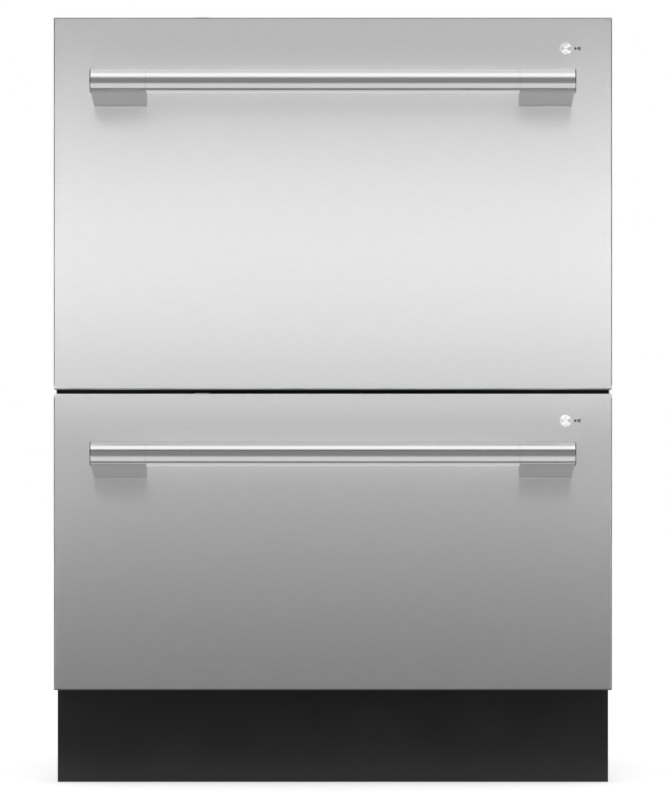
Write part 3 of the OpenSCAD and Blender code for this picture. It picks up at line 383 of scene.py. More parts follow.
def dress(solid, finish):
    """Puts one finish on the whole of an object."""
    solid.data.materials.clear()
    solid.data.materials.append(finish)


for name, solid in nodes.items():
    kind = name if name in finish_of else name.split("_", 1)[1]
    dress(solid, finish_of[kind])
print(len(nodes), "solids dressed")

# %% [markdown]
# ## Shapes from arrays
# The solids from the CAD model are plain where a real part has a thread, a domed wire end or a
# cross recess. Those finer pieces are worked out as arrays of points: a grid with one line of
# points per ring of the surface, joined to its neighbours by four-sided faces. The first helper
# makes an object of points and faces, the second joins several shapes, and the third lays a skin
# of faces over grids of points.

# %% From grids to meshes
def show(name, points, faces, finish, body, slot, stands_for=()):
    """Makes a mesh object of points and faces, smooth, with its finish, and lets it ride on a
    body. Its volume, a sixth of the sum of the faces' triple products, is above zero when the
    faces of a closed shape point outwards."""
    mesh = bpy.data.meshes.new(name)
    mesh.from_pydata(points.tolist(), [], faces)
    mesh.polygons.foreach_set("use_smooth", np.ones(len(mesh.polygons), dtype=bool))
    mesh.update()
    mesh.materials.append(finish)
    made = bpy.data.objects.new(name, mesh)
    scene.collection.objects.link(made)
    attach(made, body)
    if stands_for:
        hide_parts(*stands_for)
    mesh.calc_loop_triangles()
    corners = np.empty(len(mesh.loop_triangles) * 3, dtype=int)
    mesh.loop_triangles.foreach_get("vertices", corners)
    a, b, c = np.moveaxis(points[corners].reshape(-1, 3, 3), 1, 0)
    volume = np.einsum("ij,ij->i", a, np.cross(b, c)).sum() / 6
    print(f"{name}: {len(faces)} faces, {volume * 1e6:.2f} cm3")
    return made


def join(*shapes):
    """Several pairs of points and faces as one pair: each set's face numbers are raised by the
    count of the points before it."""
    points, faces, count = [], [], 0
    for some_points, some_faces in shapes:
        points.append(some_points)
        faces += [[corner + count for corner in face] for face in some_faces]
        count += len(some_points)
    return np.concatenate(points), faces


def skin(grid, wrap_rows, caps):
    """Points and faces of many grids at once, shaped (grids, rings, sides, 3). Each ring closes on
    itself, wrap_rows joins the last ring to the first, and caps closes both ends with one face."""
    count, rings, sides = grid.shape[:3]
    index = np.arange(count * rings * sides).reshape(count, rings, sides)
    across = np.roll(index, -1, axis=2)
    if wrap_rows:
        here, there = index, np.roll(index, -1, axis=1)
        here_next, there_next = across, np.roll(across, -1, axis=1)
    else:
        here, there = index[:, :-1], index[:, 1:]
        here_next, there_next = across[:, :-1], across[:, 1:]
    faces = np.stack([here, here_next, there_next, there], -1).reshape(-1, 4).tolist()
    if caps:
        faces += index[:, 0, ::-1].tolist() + index[:, -1].tolist()
    return grid.reshape(-1, 3), faces


print("meshes ready")

# %% [markdown]
# Wires, rods, inked lines and rubber ribs are all round tubes along a path, and a ball or a sleeve
# is a profile turned about an axis. Each helper makes many of them at once, as one array.

# %% Tubes and turned shapes
def tubes(paths, radii, side, sides=12, closed=False):
    """Round tubes along paths, shaped (tubes, rings, 3). At each point of a path stands a circle
    square to the path: its two axes are side x tangent and tangent x (side x tangent)."""
    paths = np.asarray(paths, float)
    if closed:
        tangent = np.roll(paths, -1, axis=1) - np.roll(paths, 1, axis=1)
    else:
        tangent = np.gradient(paths, axis=1)
    tangent /= np.linalg.norm(tangent, axis=-1, keepdims=True)
    first = np.cross(np.asarray(side, float), tangent)
    first /= np.linalg.norm(first, axis=-1, keepdims=True)
    second = np.cross(tangent, first)
    turn = np.linspace(0, 2 * np.pi, sides, endpoint=False)
    circle = np.cos(turn)[:, None] * first[..., None, :] + np.sin(turn)[:, None] * second[..., None, :]
    radii = np.broadcast_to(radii, paths.shape[1])
    return skin(paths[:, :, None, :] + radii[:, None, None] * circle, closed, not closed)


def rods(starts, ends, radius, side, sides=12):
    """Straight rods with domed ends: near both ends the rings shrink as r sin(phi), at the
    distance r (1 - cos(phi)) from the tip, for four angles phi."""
    starts, ends = np.asarray(starts, float)[:, None], np.asarray(ends, float)[:, None]
    unit = (ends - starts) / np.linalg.norm(ends - starts, axis=-1, keepdims=True)
    phi = np.radians([18, 45, 70, 90])
    from_tip = radius * (1 - np.cos(phi))[:, None]
    paths = np.concatenate([starts + from_tip * unit, ends - from_tip[::-1] * unit], axis=1)
    size = radius * np.sin(phi)
    return tubes(paths, np.concatenate([size, size[::-1]]), side, sides)


def turned(profile, centres, axis, sides=32, closed=True):
    """A profile of (radius, height) turned about an axis at each centre. A closed profile gives a
    ring, and an open one a solid with flat ends. The circle's two axes are square to the axis:
    its cross product with any slanting direction, and the cross product with that."""
    axis = np.asarray(axis, float)
    first = np.cross(axis, [0.3, 0.5, 0.8])
    first /= np.linalg.norm(first)
    second = np.cross(axis, first)
    turn = np.linspace(0, 2 * np.pi, sides, endpoint=False)
    circle = np.cos(turn)[:, None] * first + np.sin(turn)[:, None] * second
    profile = np.asarray(profile, float)
    shape = profile[:, :1, None] * circle + profile[:, 1:, None] * axis
    return skin(np.asarray(centres, float)[:, None, None, :] + shape, closed, not closed)


X_AXIS, Y_AXIS, Z_AXIS = np.eye(3)
print("shapes ready")

# %% [markdown]
# ## The wire baskets
# A basket is bent from round wire: a thick rim, two thinner hoops and the uprights that join
# them, over a floor of crossed wires with rows of plate tines. The CAD model has the same wires
# with eight sides and square corners, so a curve along each wire gives the real form: the hoops
# follow a rectangle with rounded corners, and every free end is domed, as its coating leaves it.

# %% Basket sizes
HINGE_X, MID_Y, _ = hinge_at["upper_tine_fold"]
WIRE_R, RIM_R = 0.00185, 0.0029
BASKET_X, BASKET_Y = 0.258, 0.216  # from the middle to the wires of its sides
WALL_H = {"upper": 0.118, "lower": 0.080}
CORNER_R = 0.016
WALL_PITCH = 0.04
END_GAP = 0.0023  # a floor wire ends this far inside the sides' wires
LONG_PITCH = 0.06
CROSS_RISE = 0.0033
TINE_PITCH, TINE_H = 0.026, 0.075
TINE_ROWS_X = (-0.18, 0.0)
HINGE_R = 0.00246
TINE_Y = MID_Y + TINE_PITCH * (np.arange(-6, 6) + 0.5)
BASKET_Z = {drawer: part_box(drawer + "_basket_floor")[0].z + WIRE_R for drawer in DRAWERS}
print("the baskets stand at", {drawer: round(z, 4) for drawer, z in BASKET_Z.items()})

# %% [markdown]
# A basket's walls are three hoops and a row of uprights on each side. Its floor has long wires
# from front to back, with cross wires on them, and the tines stand midway between two cross wires,
# each on a long wire.

# %% Basket wires
def hoop(half_x, half_y, corner, z, steps=7):
    """A rectangle with rounded corners: the corner's centre in each quarter plus a quarter turn
    of radius corner."""
    quarter = np.repeat(np.arange(4), steps)
    turn = np.radians(90 * quarter + np.tile(np.linspace(0, 90, steps), 4))
    x = np.array([1, -1, -1, 1])[quarter] * (half_x - corner) + corner * np.cos(turn)
    y = np.array([1, 1, -1, -1])[quarter] * (half_y - corner) + corner * np.sin(turn)
    return np.stack([x, MID_Y + y, np.full_like(x, z)], -1)


def at(x, y, z):
    """Points from three lists of coordinates, of which any may be a single number."""
    return np.stack(np.broadcast_arrays(x, y, z), -1).astype(float)


def basket_walls(drawer):
    """Three hoops, and uprights one wall pitch apart along the four sides."""
    foot = BASKET_Z[drawer] - WIRE_R
    top = foot + WALL_H[drawer]
    hoops = [tubes([hoop(BASKET_X, BASKET_Y, CORNER_R, z)], radius, Z_AXIS, 14, True)
             for z, radius in ((foot + WIRE_R, WIRE_R), (foot + WALL_H[drawer] / 2, WIRE_R), (top, RIM_R))]
    front_x = WALL_PITCH * np.arange(-6, 7)
    side_y = MID_Y + WALL_PITCH * np.arange(-5, 6)
    front = [at(front_x, MID_Y + side * BASKET_Y, foot + WIRE_R) for side in (-1, 1)]
    sides = [at(side * BASKET_X, side_y, foot + WIRE_R) for side in (-1, 1)]
    feet = np.concatenate(front + sides)
    heads = feet + [0, 0, top - foot - WIRE_R]
    return join(*hoops, rods(feet, heads, WIRE_R, X_AXIS))


def basket_grid(drawer):
    """Long wires, cross wires one tine pitch apart, and two fixed rows of tines."""
    z = BASKET_Z[drawer]
    reach_x, reach_y = BASKET_X - END_GAP, BASKET_Y - END_GAP
    long_x = LONG_PITCH * np.arange(-4, 5)
    cross_y = MID_Y + TINE_PITCH * np.arange(-8, 9)
    long_wires = rods(at(long_x, MID_Y - reach_y, z), at(long_x, MID_Y + reach_y, z), WIRE_R, Z_AXIS)
    cross_wires = rods(at(-reach_x, cross_y, z + CROSS_RISE), at(reach_x, cross_y, z + CROSS_RISE),
                       WIRE_R, Z_AXIS)
    tines = [rods(at(x, TINE_Y, z), at(x, TINE_Y, z + WIRE_R + TINE_H), WIRE_R, X_AXIS)
             for x in TINE_ROWS_X]
    return join(long_wires, cross_wires, *tines)


def sleeve(inner, outer, width):
    """The section of a sleeve with rounded outer edges, as (radius, height) pairs."""
    bevel = 0.0006
    half = width / 2
    return [(inner, half), (inner, -half), (outer - bevel, -half), (outer, bevel - half),
            (outer, half - bevel), (outer - bevel, half)]


def tine_row(z):
    """The folding row: a rod along Y at the height z, with tines standing on it."""
    half = 6 * TINE_PITCH
    rod = rods([(HINGE_X, MID_Y - half, z)], [(HINGE_X, MID_Y + half, z)], HINGE_R, Z_AXIS)
    tines = rods(at(HINGE_X, TINE_Y, z), at(HINGE_X, TINE_Y, z + TINE_H), WIRE_R, X_AXIS)
    return join(rod, tines)


CLIP = sleeve(0.0026, 0.0046, 0.008)
CLIP_Y = MID_Y + 4 * TINE_PITCH * np.array([-1, 1])
for drawer in DRAWERS:
    hinge_z = hinge_at[drawer + "_tine_fold"][2]
    clips = turned(CLIP, at(HINGE_X, CLIP_Y, hinge_z), Y_AXIS)
    show(drawer + "_wire_walls", *basket_walls(drawer), wire_coating, drawer + "_drawer", "coated_wire",
         [drawer + "_basket_sides"])
    show(drawer + "_wire_grid", *join(basket_grid(drawer), clips), wire_coating, drawer + "_drawer",
         "coated_wire", [drawer + "_basket_floor"])
    show(drawer + "_tine_row", *tine_row(hinge_z), wire_coating, drawer + "_folding_tines", "coated_wire",
         [drawer + "_folding_tines"])

# %% [markdown]
# The cup shelf is a ladder of wires on a hinge rod, whose two clips sit on the basket's rim. Its
# frame bends round at the free edge in one piece, so its path is a straight line, a quarter
# circle, a straight line, a quarter circle and a straight line.

# %% Cup shelf
RACK_X, _, RACK_Z = hinge_at["upper_cup_rack_fold"]
RACK_Y0, RACK_Y1 = (corner.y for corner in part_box("upper_cup_rack"))
RACK_REACH = 0.082  # from the hinge to the free edge
BEND_R = 0.012
RUNG_PITCH, RUNG_R = 0.022, 0.8 * WIRE_R


def shelf_frame(corner, steps=7):
    """The bent frame from the hinge out to the free edge, along it and back."""
    turn = np.radians(np.linspace(0, 90, steps))
    near, far = RACK_Y0 + WIRE_R, RACK_Y1 - WIRE_R
    edge = RACK_X - RACK_REACH
    x = edge + corner * (1 - np.sin(turn))
    y = near + corner * (1 - np.cos(turn))
    out = np.stack([x, y], -1)
    back = np.stack([x, near + far - y], -1)[::-1]
    plan = np.concatenate([[[RACK_X, near]], out, back, [[RACK_X, far]]])
    return np.column_stack([plan, np.full(len(plan), RACK_Z)])


rung_y = (RACK_Y0 + RACK_Y1) / 2 + RUNG_PITCH * np.arange(-4, 5)
edge_x = RACK_X - RACK_REACH
half_x = RACK_X - RACK_REACH / 2
shelf = join(
    rods([(RACK_X, RACK_Y0, RACK_Z)], [(RACK_X, RACK_Y1, RACK_Z)], HINGE_R, Z_AXIS),
    tubes([shelf_frame(BEND_R)], WIRE_R, Z_AXIS),
    rods(at(edge_x, rung_y, RACK_Z), at(RACK_X, rung_y, RACK_Z), RUNG_R, Z_AXIS),
    rods([(half_x, RACK_Y0, RACK_Z)], [(half_x, RACK_Y1, RACK_Z)], WIRE_R, Z_AXIS))
show("upper_cup_shelf", *shelf, wire_coating, "upper_cup_rack", "coated_wire", ["upper_cup_rack"])
shelf_clips = turned(CLIP, at(RACK_X, MID_Y + WALL_PITCH * np.array([0, 4]), RACK_Z), Y_AXIS)
show("upper_shelf_clips", *shelf_clips, wire_coating, "upper_drawer", "coated_wire")

# %% [markdown]
# ## Signs on the fronts and the keys
# Beside each start button the steel carries a small printed play and pause sign, and the key
# strip on the top edge has a few plain signs. Ink has next to no thickness, so the signs are
# thin tiles that stand a twentieth of a millimetre proud. A line of ink is a fine half-sunk tube.

# %% Printed signs
ink = moulded("printed_ink", (0.035, 0.035, 0.035), 0.45, 2500.0, 1e-6, 0.02)
pale_ink = moulded("pale_ink", (0.55, 0.56, 0.57), 0.4, 2500.0, 1e-6, 0.02)
INK_T = 0.00005


def tile(outline, place, right, up, thickness):
    """A flat tile with a convex outline of (right, up) pairs: the outline is repeated at the
    face's level and at a thickness behind it."""
    right, up = np.asarray(right, float), np.asarray(up, float)
    out = np.cross(right, up)
    outline = np.asarray(outline, float)
    face = np.asarray(place, float) + outline[:, :1] * right + outline[:, 1:] * up
    grid = np.stack([face - thickness * out, face + thickness * out])[None]
    return skin(grid, False, True)


SIGN_X = 0.0093  # from the button's middle to the sign's left edge
SIGN_R = 0.0019
TRIANGLE = [(0.0, -SIGN_R), (0.003, 0.0), (0.0, SIGN_R)]
PAUSE_BAR = [(0.0, -SIGN_R), (0.0012, -SIGN_R), (0.0012, SIGN_R), (0.0, SIGN_R)]
for drawer in DRAWERS:
    button = middle(drawer + "_start_button")
    corner = np.array([button.x + SIGN_X, FRONT_Y, button.z])
    signs = [tile(shape, corner + [offset, 0, 0], X_AXIS, Z_AXIS, INK_T)
             for shape, offset in ((TRIANGLE, 0.0), (PAUSE_BAR, 0.0035), (PAUSE_BAR, 0.0052))]
    show(drawer + "_play_pause_sign", *join(*signs), ink, drawer + "_drawer", "black_plastic")

# %% [markdown]
# The signs on the key strip are only read with the drawer open: an on/off sign on the key, and a
# row of plain programme signs with a lamp dot under each. Every line is a path of points, such as
# three quarters of a circle for the on/off sign.

# %% Key strip signs
STRIP_Y = middle("upper_control_strip").y
LINE_R = 0.00018
SIGNS_X = 0.03 * np.arange(-3, 3)
SIGNS_Y, DOTS_Y = STRIP_Y + 0.0012, STRIP_Y - 0.0036


def arc(x, y, radius, start, stop, z, steps=17):
    """Part of a circle about (x, y): x + r cos(a) and y + r sin(a), from start to stop degrees."""
    turn = np.radians(np.linspace(start, stop, steps))
    return at(x + radius * np.cos(turn), y + radius * np.sin(turn), z)


def stroke(points):
    """A line of ink along a path, as a tube with half of it sunk in the surface."""
    return tubes([points], LINE_R, Z_AXIS, 8)


def wave(x, y, width, height, turns, z, steps=25):
    """A sine wave of that many turns, which stands for water."""
    t = np.linspace(0, 1, steps)
    return at(x + width * (t - 0.5), y + height / 2 * np.sin(2 * np.pi * turns * t), z)


def drop(x, y, size, z, steps=33):
    """A drop: a circle whose width shrinks to a point at the top, x = r cos(a) (1 - s) / 1.5 and
    y = r s for s = sin(a)."""
    a = np.radians(np.linspace(90, 450, steps))
    s = np.sin(a)
    return at(x + size * np.cos(a) * (1 - s) / 1.5, y + size * s, z)


def programme_signs(z):
    """Plate, waves, drop, moon, cross and clock, as strokes at the height z."""
    plate, waves, water, moon, cross, clock = SIGNS_X
    return [
        arc(plate, SIGNS_Y, 0.0021, 0, 360, z),
        arc(plate, SIGNS_Y, 0.0011, 0, 360, z),
        wave(waves, SIGNS_Y + 0.0011, 0.0052, 0.0012, 2, z),
        wave(waves, SIGNS_Y - 0.0011, 0.0052, 0.0012, 2, z),
        drop(water, SIGNS_Y, SIGN_R, z),
        arc(moon, SIGNS_Y, SIGN_R, 60, 300, z),
        at(cross + np.array([-0.002, 0.002]), SIGNS_Y, z),
        at(cross, SIGNS_Y + np.array([-SIGN_R, SIGN_R]), z),
        arc(clock, SIGNS_Y, SIGN_R, 0, 360, z),
        at(clock + np.array([0, 0, 0.0011]), SIGNS_Y + np.array([0.0011, 0, 0]), z),
    ]


for drawer in DRAWERS:
    key_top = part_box(drawer + "_power_key")[1].z
    key_x = middle(drawer + "_power_key").x
    on_off = join(stroke(arc(key_x, STRIP_Y, 0.0016, 130, 410, key_top)),
                  stroke(at(key_x, STRIP_Y + np.array([0.0006, 0.0021]), key_top)))
    show(drawer + "_on_off_sign", *on_off, ink, drawer + "_power_key", "black_plastic")
    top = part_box(drawer + "_control_strip")[1].z
    lines = [stroke(points) for points in programme_signs(top)]
    dots = rods(at(SIGNS_X, DOTS_Y, top - 0.0003), at(SIGNS_X, DOTS_Y, top + 0.0002), 0.0005, X_AXIS)
    show(drawer + "_programme_signs", *join(*lines, dots), pale_ink, drawer + "_drawer", "white_plastic")

# %% [markdown]
# ## Handle seams
# Each handle bar is a tube pushed onto a bracket at both ends. The joint shows as a hairline
# round the bar, which is a dark ring a tenth of a millimetre thick.

# %% Handle seams
SEAM_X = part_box("upper_handle_bar")[1].x
SEAM_R = 0.00011
turn = np.radians(np.arange(0, 360, 7.5))
for drawer in DRAWERS:
    low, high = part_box(drawer + "_handle_bar")
    centre, radius = (low + high) / 2, (high.z - low.z) / 2
    rings = [at(side * SEAM_X, centre.y + radius * np.cos(turn), centre.z + radius * np.sin(turn))
             for side in (-1, 1)]
    show(drawer + "_handle_seams", *tubes(rings, SEAM_R, X_AXIS, 6, True), ink, drawer + "_drawer",
         "black_plastic")

# %% [markdown]
# ## Levelling feet
# A foot is screwed up or down to level the machine, so its stem has a real thread. A helix is a
# simple surface: at angle a and height z the radius follows a triangle wave of z / pitch - a /
# 360 degrees. Under it come the hexagon for the spanner and a pad with a ribbed skirt.

# %% Feet
PITCH, THREAD_DEPTH = 0.002, 0.0007
STEM_R, STEM_Z, STEM_TOP = 0.005, 0.0155, 0.098
HEXAGON_Z = (0.0068, 0.016)
RIBS, RIB_DEPTH = 24, 0.0004


def thread(x, y, sides=20, steps_per_turn=6):
    """A screw's surface: radius = outer - depth * |2 frac(z / pitch - a / 2 pi) - 1|, running out
    to the core at both ends."""
    rings = int((STEM_TOP - STEM_Z) / PITCH * steps_per_turn) + 1
    z = np.linspace(STEM_Z, STEM_TOP, rings)[:, None]
    a = np.linspace(0, 2 * np.pi, sides, endpoint=False)[None, :]
    phase = (z / PITCH - a / (2 * np.pi)) % 1.0
    depth = THREAD_DEPTH * np.abs(2 * phase - 1)
    fade = np.clip(np.minimum(z - STEM_Z, STEM_TOP - z) / PITCH, 0, 1)
    radius = STEM_R - THREAD_DEPTH + (THREAD_DEPTH - depth) * fade
    grid = np.stack([x + radius * np.cos(a), y + radius * np.sin(a), np.broadcast_to(z, radius.shape)], -1)
    return skin(grid[None], False, True)


def foot_pad(x, y, sides=72):
    """The pad's profile turned about the stem, its skirt waved by depth * share * cos(ribs * a)."""
    profile = np.array([(0.0185, 0.0), (0.0202, 0.0006), (0.0206, 0.0022), (0.0195, 0.0034),
                        (0.0155, 0.0052), (0.0128, 0.0068), (0.0118, 0.0072)])
    share = np.array([0, 0.6, 1, 1, 0.7, 0.2, 0])[:, None]
    a = np.linspace(0, 2 * np.pi, sides, endpoint=False)
    radius = profile[:, :1] + RIB_DEPTH * share * np.cos(RIBS * a)
    grid = np.stack([x + radius * np.cos(a), y + radius * np.sin(a),
                     np.broadcast_to(profile[:, 1:], radius.shape)], -1)
    return skin(grid[None], False, True)


def hexagon(x, y, bottom, top, radius=0.0099, bevel=0.0006):
    """Six flats with bevelled corners, as four rings of twelve points."""
    a = np.radians(np.repeat(60 * np.arange(6), 2) + np.tile([-4, 4], 6))
    ring = radius * np.stack([np.cos(a), np.sin(a)], -1)
    levels = np.array([bottom, bottom + bevel, top - bevel, top])
    scale = np.array([1 - bevel / radius, 1, 1, 1 - bevel / radius])
    grid = np.concatenate([scale[:, None, None] * ring + [x, y],
                           np.broadcast_to(levels[:, None, None], (4, 12, 1))], -1)
    return skin(grid[None], False, True)


for corner in ("front_left", "front_right", "rear_left", "rear_right"):
    x, y, _ = middle(corner + "_foot")
    parts = join(foot_pad(x, y), hexagon(x, y, *HEXAGON_Z), thread(x, y))
    show(corner + "_screw_foot", *parts, black_plastic, corner + "_foot", "black_plastic",
         [corner + "_foot"])

# %% [markdown]
# ## Screws
# The chassis is held together by pan-head screws. A head is a surface over a disc: the dome
# falls away as h sqrt(1 - 0.8 (r / R)^2), and a cross recess is taken out of it, whose arms fade
# over a fifth of a millimetre so that the few faces still give a clean edge.

# %% Screws
screw_steel = moulded("screw_steel", (0.30, 0.30, 0.31), 0.34, 900.0, 3e-6, 0.03, metallic=1.0)
HEAD_R, HEAD_H, SLOT_DEPTH = 0.0042, 0.0016, 0.0009


def screw_heads(places, out, sides=40):
    """Pan heads on a surface whose outward direction is out: height over the disc as above."""
    out = np.asarray(out, float)
    first = np.cross(out, [0.1, 0.2, 0.9])
    first /= np.linalg.norm(first)
    second = np.cross(out, first)
    r = HEAD_R * np.array([1.0, 1.0, 0.93, 0.8, 0.66, 0.52, 0.42, 0.32, 0.22, 0.12])
    a = np.linspace(0, 2 * np.pi, sides, endpoint=False)
    x, y = r[:, None] * np.cos(a), r[:, None] * np.sin(a)
    dome = HEAD_H * np.sqrt(1 - 0.8 * (r[:, None] / HEAD_R) ** 2) + 0 * a
    arm = np.minimum(np.abs(x), np.abs(y))
    reach = np.maximum(np.abs(x), np.abs(y))
    cross = np.clip((0.0006 - arm) / 0.0002, 0, 1) * np.clip((0.0024 - reach) / 0.0003, 0, 1)
    height = dome - SLOT_DEPTH * cross
    height[0] = -0.0002
    shape = x[..., None] * first + y[..., None] * second + height[..., None] * out
    return skin(np.asarray(places, float)[:, None, None, :] + shape, False, True)


BACK_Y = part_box("rear_panel")[1].y
BACK_EDGE_X, BACK_TOP_Z = 0.289, 0.8165
edge_z = np.array([0.05, 0.24, 0.43, 0.62, 0.80])
top_x = np.array([-0.15, 0.0, 0.15])
back_spots = [at(side * BACK_EDGE_X, BACK_Y, edge_z) for side in (-1, 1)] + [at(top_x, BACK_Y, BACK_TOP_Z)]
show("back_screws", *screw_heads(np.concatenate(back_spots), Y_AXIS), screw_steel, "chassis", "rail_steel")

# %% [markdown]
# On each side three screws hold each runner, one the middle cross rail and one the base pan.

# %% Side screws
SIDE_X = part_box("right_side_panel")[1].x
RAIL_Z = {drawer: middle(drawer + "_outer_rails").z for drawer in DRAWERS}
rail_spots = [(y, z) for z in RAIL_Z.values() for y in (-0.2, 0.0, 0.2)]
cross_rail_spot, base_spot = (-0.18, middle("middle_cross_rail").z), (0.27, 0.096)
side_y, side_z = np.array([*rail_spots, cross_rail_spot, base_spot]).T
for side, name in ((-1, "left"), (1, "right")):
    show(name + "_side_screws", *screw_heads(at(side * SIDE_X, side_y, side_z), side * X_AXIS),
         screw_steel, "chassis", "rail_steel")

# %% [markdown]
# ## Balls in the runners
# Each runner slides on balls that a thin cage keeps apart. They show in the gap between the
# members when a drawer is out. Sphere after sphere is one turned half circle, of few faces.

# %% Runner balls
BALL_R, BALL_PITCH, BALLS = 0.0015, 0.009, 14
CAGE_R = 0.0007
BALL_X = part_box("upper_outer_rails")[1].x - 0.0075  # midway into the runner
TRACKS = (-0.0151, 0.0151)  # the two ball tracks, from the middle of a rail
CAGES_Y = (-0.226, 0.1555)  # where the front and the rear cage start
a = np.radians(np.linspace(12, 168, 8))
half_circle = BALL_R * np.column_stack([np.sin(a), -np.cos(a)])
for drawer in DRAWERS:
    for side, name in ((-1, "left"), (1, "right")):
        body = f"{drawer}_{name}_mid_rail"
        x, z = side * BALL_X, RAIL_Z[drawer]
        ball_y = np.array(CAGES_Y)[:, None] + BALL_PITCH * np.arange(BALLS)
        spots = np.concatenate([at(x, ball_y.ravel(), z + track) for track in TRACKS])
        balls = turned(half_circle, spots, X_AXIS, 12, False)
        cages = [rods(at(x, ball_y[:, 0], z + track), at(x, ball_y[:, -1], z + track), CAGE_R, Z_AXIS, 8)
                 for track in TRACKS]
        show(f"{drawer}_{name}_runner_balls", *join(balls, *cages), screw_steel, body, "rail_steel")

# %% [markdown]
# ## Nozzles and the rubber outlet
# Each nozzle of a spray arm ends in a slit that fans the water out. Each slit is a dark rod on the arm,
# painted shade for the opening.

# %% Nozzle slits
NOZZLE = np.arange(5)
NOZZLE_X, NOZZLE_Y = 0.062 + 0.032 * NOZZLE, 0.007 - 0.0035 * NOZZLE
BLADE_RISE = 0.0175  # from the arm's underside to the upper face of its blades
SLIT_R = 0.0005
lean = np.radians(35 + 12 * NOZZLE)
reach = 0.0024 * np.stack([np.cos(lean), np.sin(lean), 0 * lean], -1)
for drawer in DRAWERS:
    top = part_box(drawer + "_spray_arm")[0].z + BLADE_RISE
    places = [at(sign * NOZZLE_X, MID_Y + sign * NOZZLE_Y, top) for sign in (1, -1)]
    slits = [rods(place - reach, place + reach, SLIT_R, Z_AXIS, 8) for place in places]
    # painted shade: the slits are dark half-sunk rods, not cut openings
    show(drawer + "_nozzle_slits", *join(*slits), black_rubber, drawer + "_spray_arm", "black_rubber")

# %% [markdown]
# The rubber ring at the back has ribs that grip the hoses: two on its outer face and two inside.

# %% Outlet ribs
outlet = middle("hose_outlet")
RIB_R = 0.0007
turn = np.radians(np.arange(0, 360, 5))
ribs = [at(outlet.x + r * np.cos(turn), y, outlet.z + r * np.sin(turn))
        for r, y in ((0.0275, 0.3138), (0.0302, 0.3136), (0.0240, 0.3115), (0.0240, 0.3085))]
show("outlet_ribs", *tubes(ribs, RIB_R, Y_AXIS, 8, True), black_rubber, "chassis", "black_rubber")

# %% [markdown]
# ## The studio
# The photograph has a pure white background. The world is white wherever the camera, a
# reflection or a glass looks straight at it, and half as bright as a source of light, so that
# the object isn't washed out. The floor is white too and keeps the object's soft shadow.

# %% World and floor
AMBIENT = 0.5
FLOOR_REACH = 12.0
FLOOR_GLOW = 0.58


def looked_at(tree):
    """Above zero for the rays of the camera, of reflections and of glass, and 0 for all others."""
    path = tree.nodes.new("ShaderNodeLightPath")
    straight = calculate(tree, "ADD", path.outputs["Is Camera Ray"], path.outputs["Is Glossy Ray"])
    return calculate(tree, "ADD", straight, path.outputs["Is Transmission Ray"])


def sheet(name, corner, along, up, finish):
    """A flat rectangle of the studio: a corner, the corner plus each of its sides, and plus both."""
    corner, along, up = np.array([corner, along, up], float)
    points = np.stack([corner, corner + along, corner + along + up, corner + up])
    mesh = bpy.data.meshes.new(name)
    mesh.from_pydata(points.tolist(), [], [(0, 1, 2, 3)])
    mesh.materials.append(finish)
    made = bpy.data.objects.new(name, mesh)
    scene.collection.objects.link(made)
    made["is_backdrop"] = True
    return made


world = bpy.data.worlds.new("studio")
world.use_nodes = True
scene.world = world
background = world.node_tree.nodes["Background"]
background.inputs["Color"].default_value = (1, 1, 1, 1)
strength = ramp(world, looked_at(world.node_tree), 0, 1, AMBIENT, 1)
world.node_tree.links.new(strength, background.inputs["Strength"])

floor_finish, floor_shader = start_finish("floor", (0.86, 0.86, 0.86), 0.9, Emission_Color=(1, 1, 1, 1))
glow = ramp(floor_finish, looked_at(floor_finish.node_tree), 0, 1, 0, FLOOR_GLOW)
floor_finish.node_tree.links.new(glow, floor_shader.inputs["Emission Strength"])
sheet("floor", (-FLOOR_REACH, -FLOOR_REACH, 0), 2 * FLOOR_REACH * X_AXIS, 2 * FLOOR_REACH * Y_AXIS,
      floor_finish)
print("world and floor ready")

# %% [markdown]
# ## Gauze before the fronts
# A photographer hangs a piece of gauze before a lamp to hold back a little of its light. Here
# strips of it hang close to the fronts, under the posts and beside the bars, and only shadows see
# them. Each strip thins out from one long edge to the other, as a handle's soft shadow does.

# %% Gauze
POST_OUTER = 0.2545  # from the middle to where a post's outer rounding starts
FRONT_SIDE = 0.3  # just past a front's side
FADE = 0.028


def gauze_strips(strips):
    """Upright rectangles just before the fronts, from (left, right, thick, thin, share) of each:
    at the height thick the strip holds back its share of the light, and at thin none. The UV map
    keeps the share in its first number, and 1 at thick and 0 at thin in its second."""
    left, right, thick, thin, share = np.array(strips, float).T
    x = np.stack([left, right, right, left], -1)
    z = np.stack([thin, thin, thick, thick], -1)
    points = np.stack([x, np.full_like(x, FRONT_Y - 0.001), z], -1).reshape(-1, 3)
    mesh = bpy.data.meshes.new("gauze")
    mesh.from_pydata(points.tolist(), [], np.arange(len(points)).reshape(-1, 4).tolist())
    amount = np.stack([np.repeat(share, 4), np.tile([0.0, 0.0, 1.0, 1.0], len(strips))], -1)
    mesh.uv_layers.new(name="amount").data.foreach_set("uv", amount.ravel())
    made = bpy.data.objects.new("gauze", mesh)
    scene.collection.objects.link(made)
    return made


def gauze_finish():
    """Clear, with a share of black: the product of the UV map's two numbers."""
    finish, shader = start_finish("gauze", (0, 0, 0), 1.0)
    tree = finish.node_tree
    place = tree.nodes.new("ShaderNodeUVMap")
    split = tree.nodes.new("ShaderNodeSeparateXYZ")
    tree.links.new(place.outputs["UV"], split.inputs["Vector"])
    black = calculate(tree, "MULTIPLY", split.outputs["X"], split.outputs["Y"])
    tree.links.new(black, shader.inputs["Alpha"])
    return finish


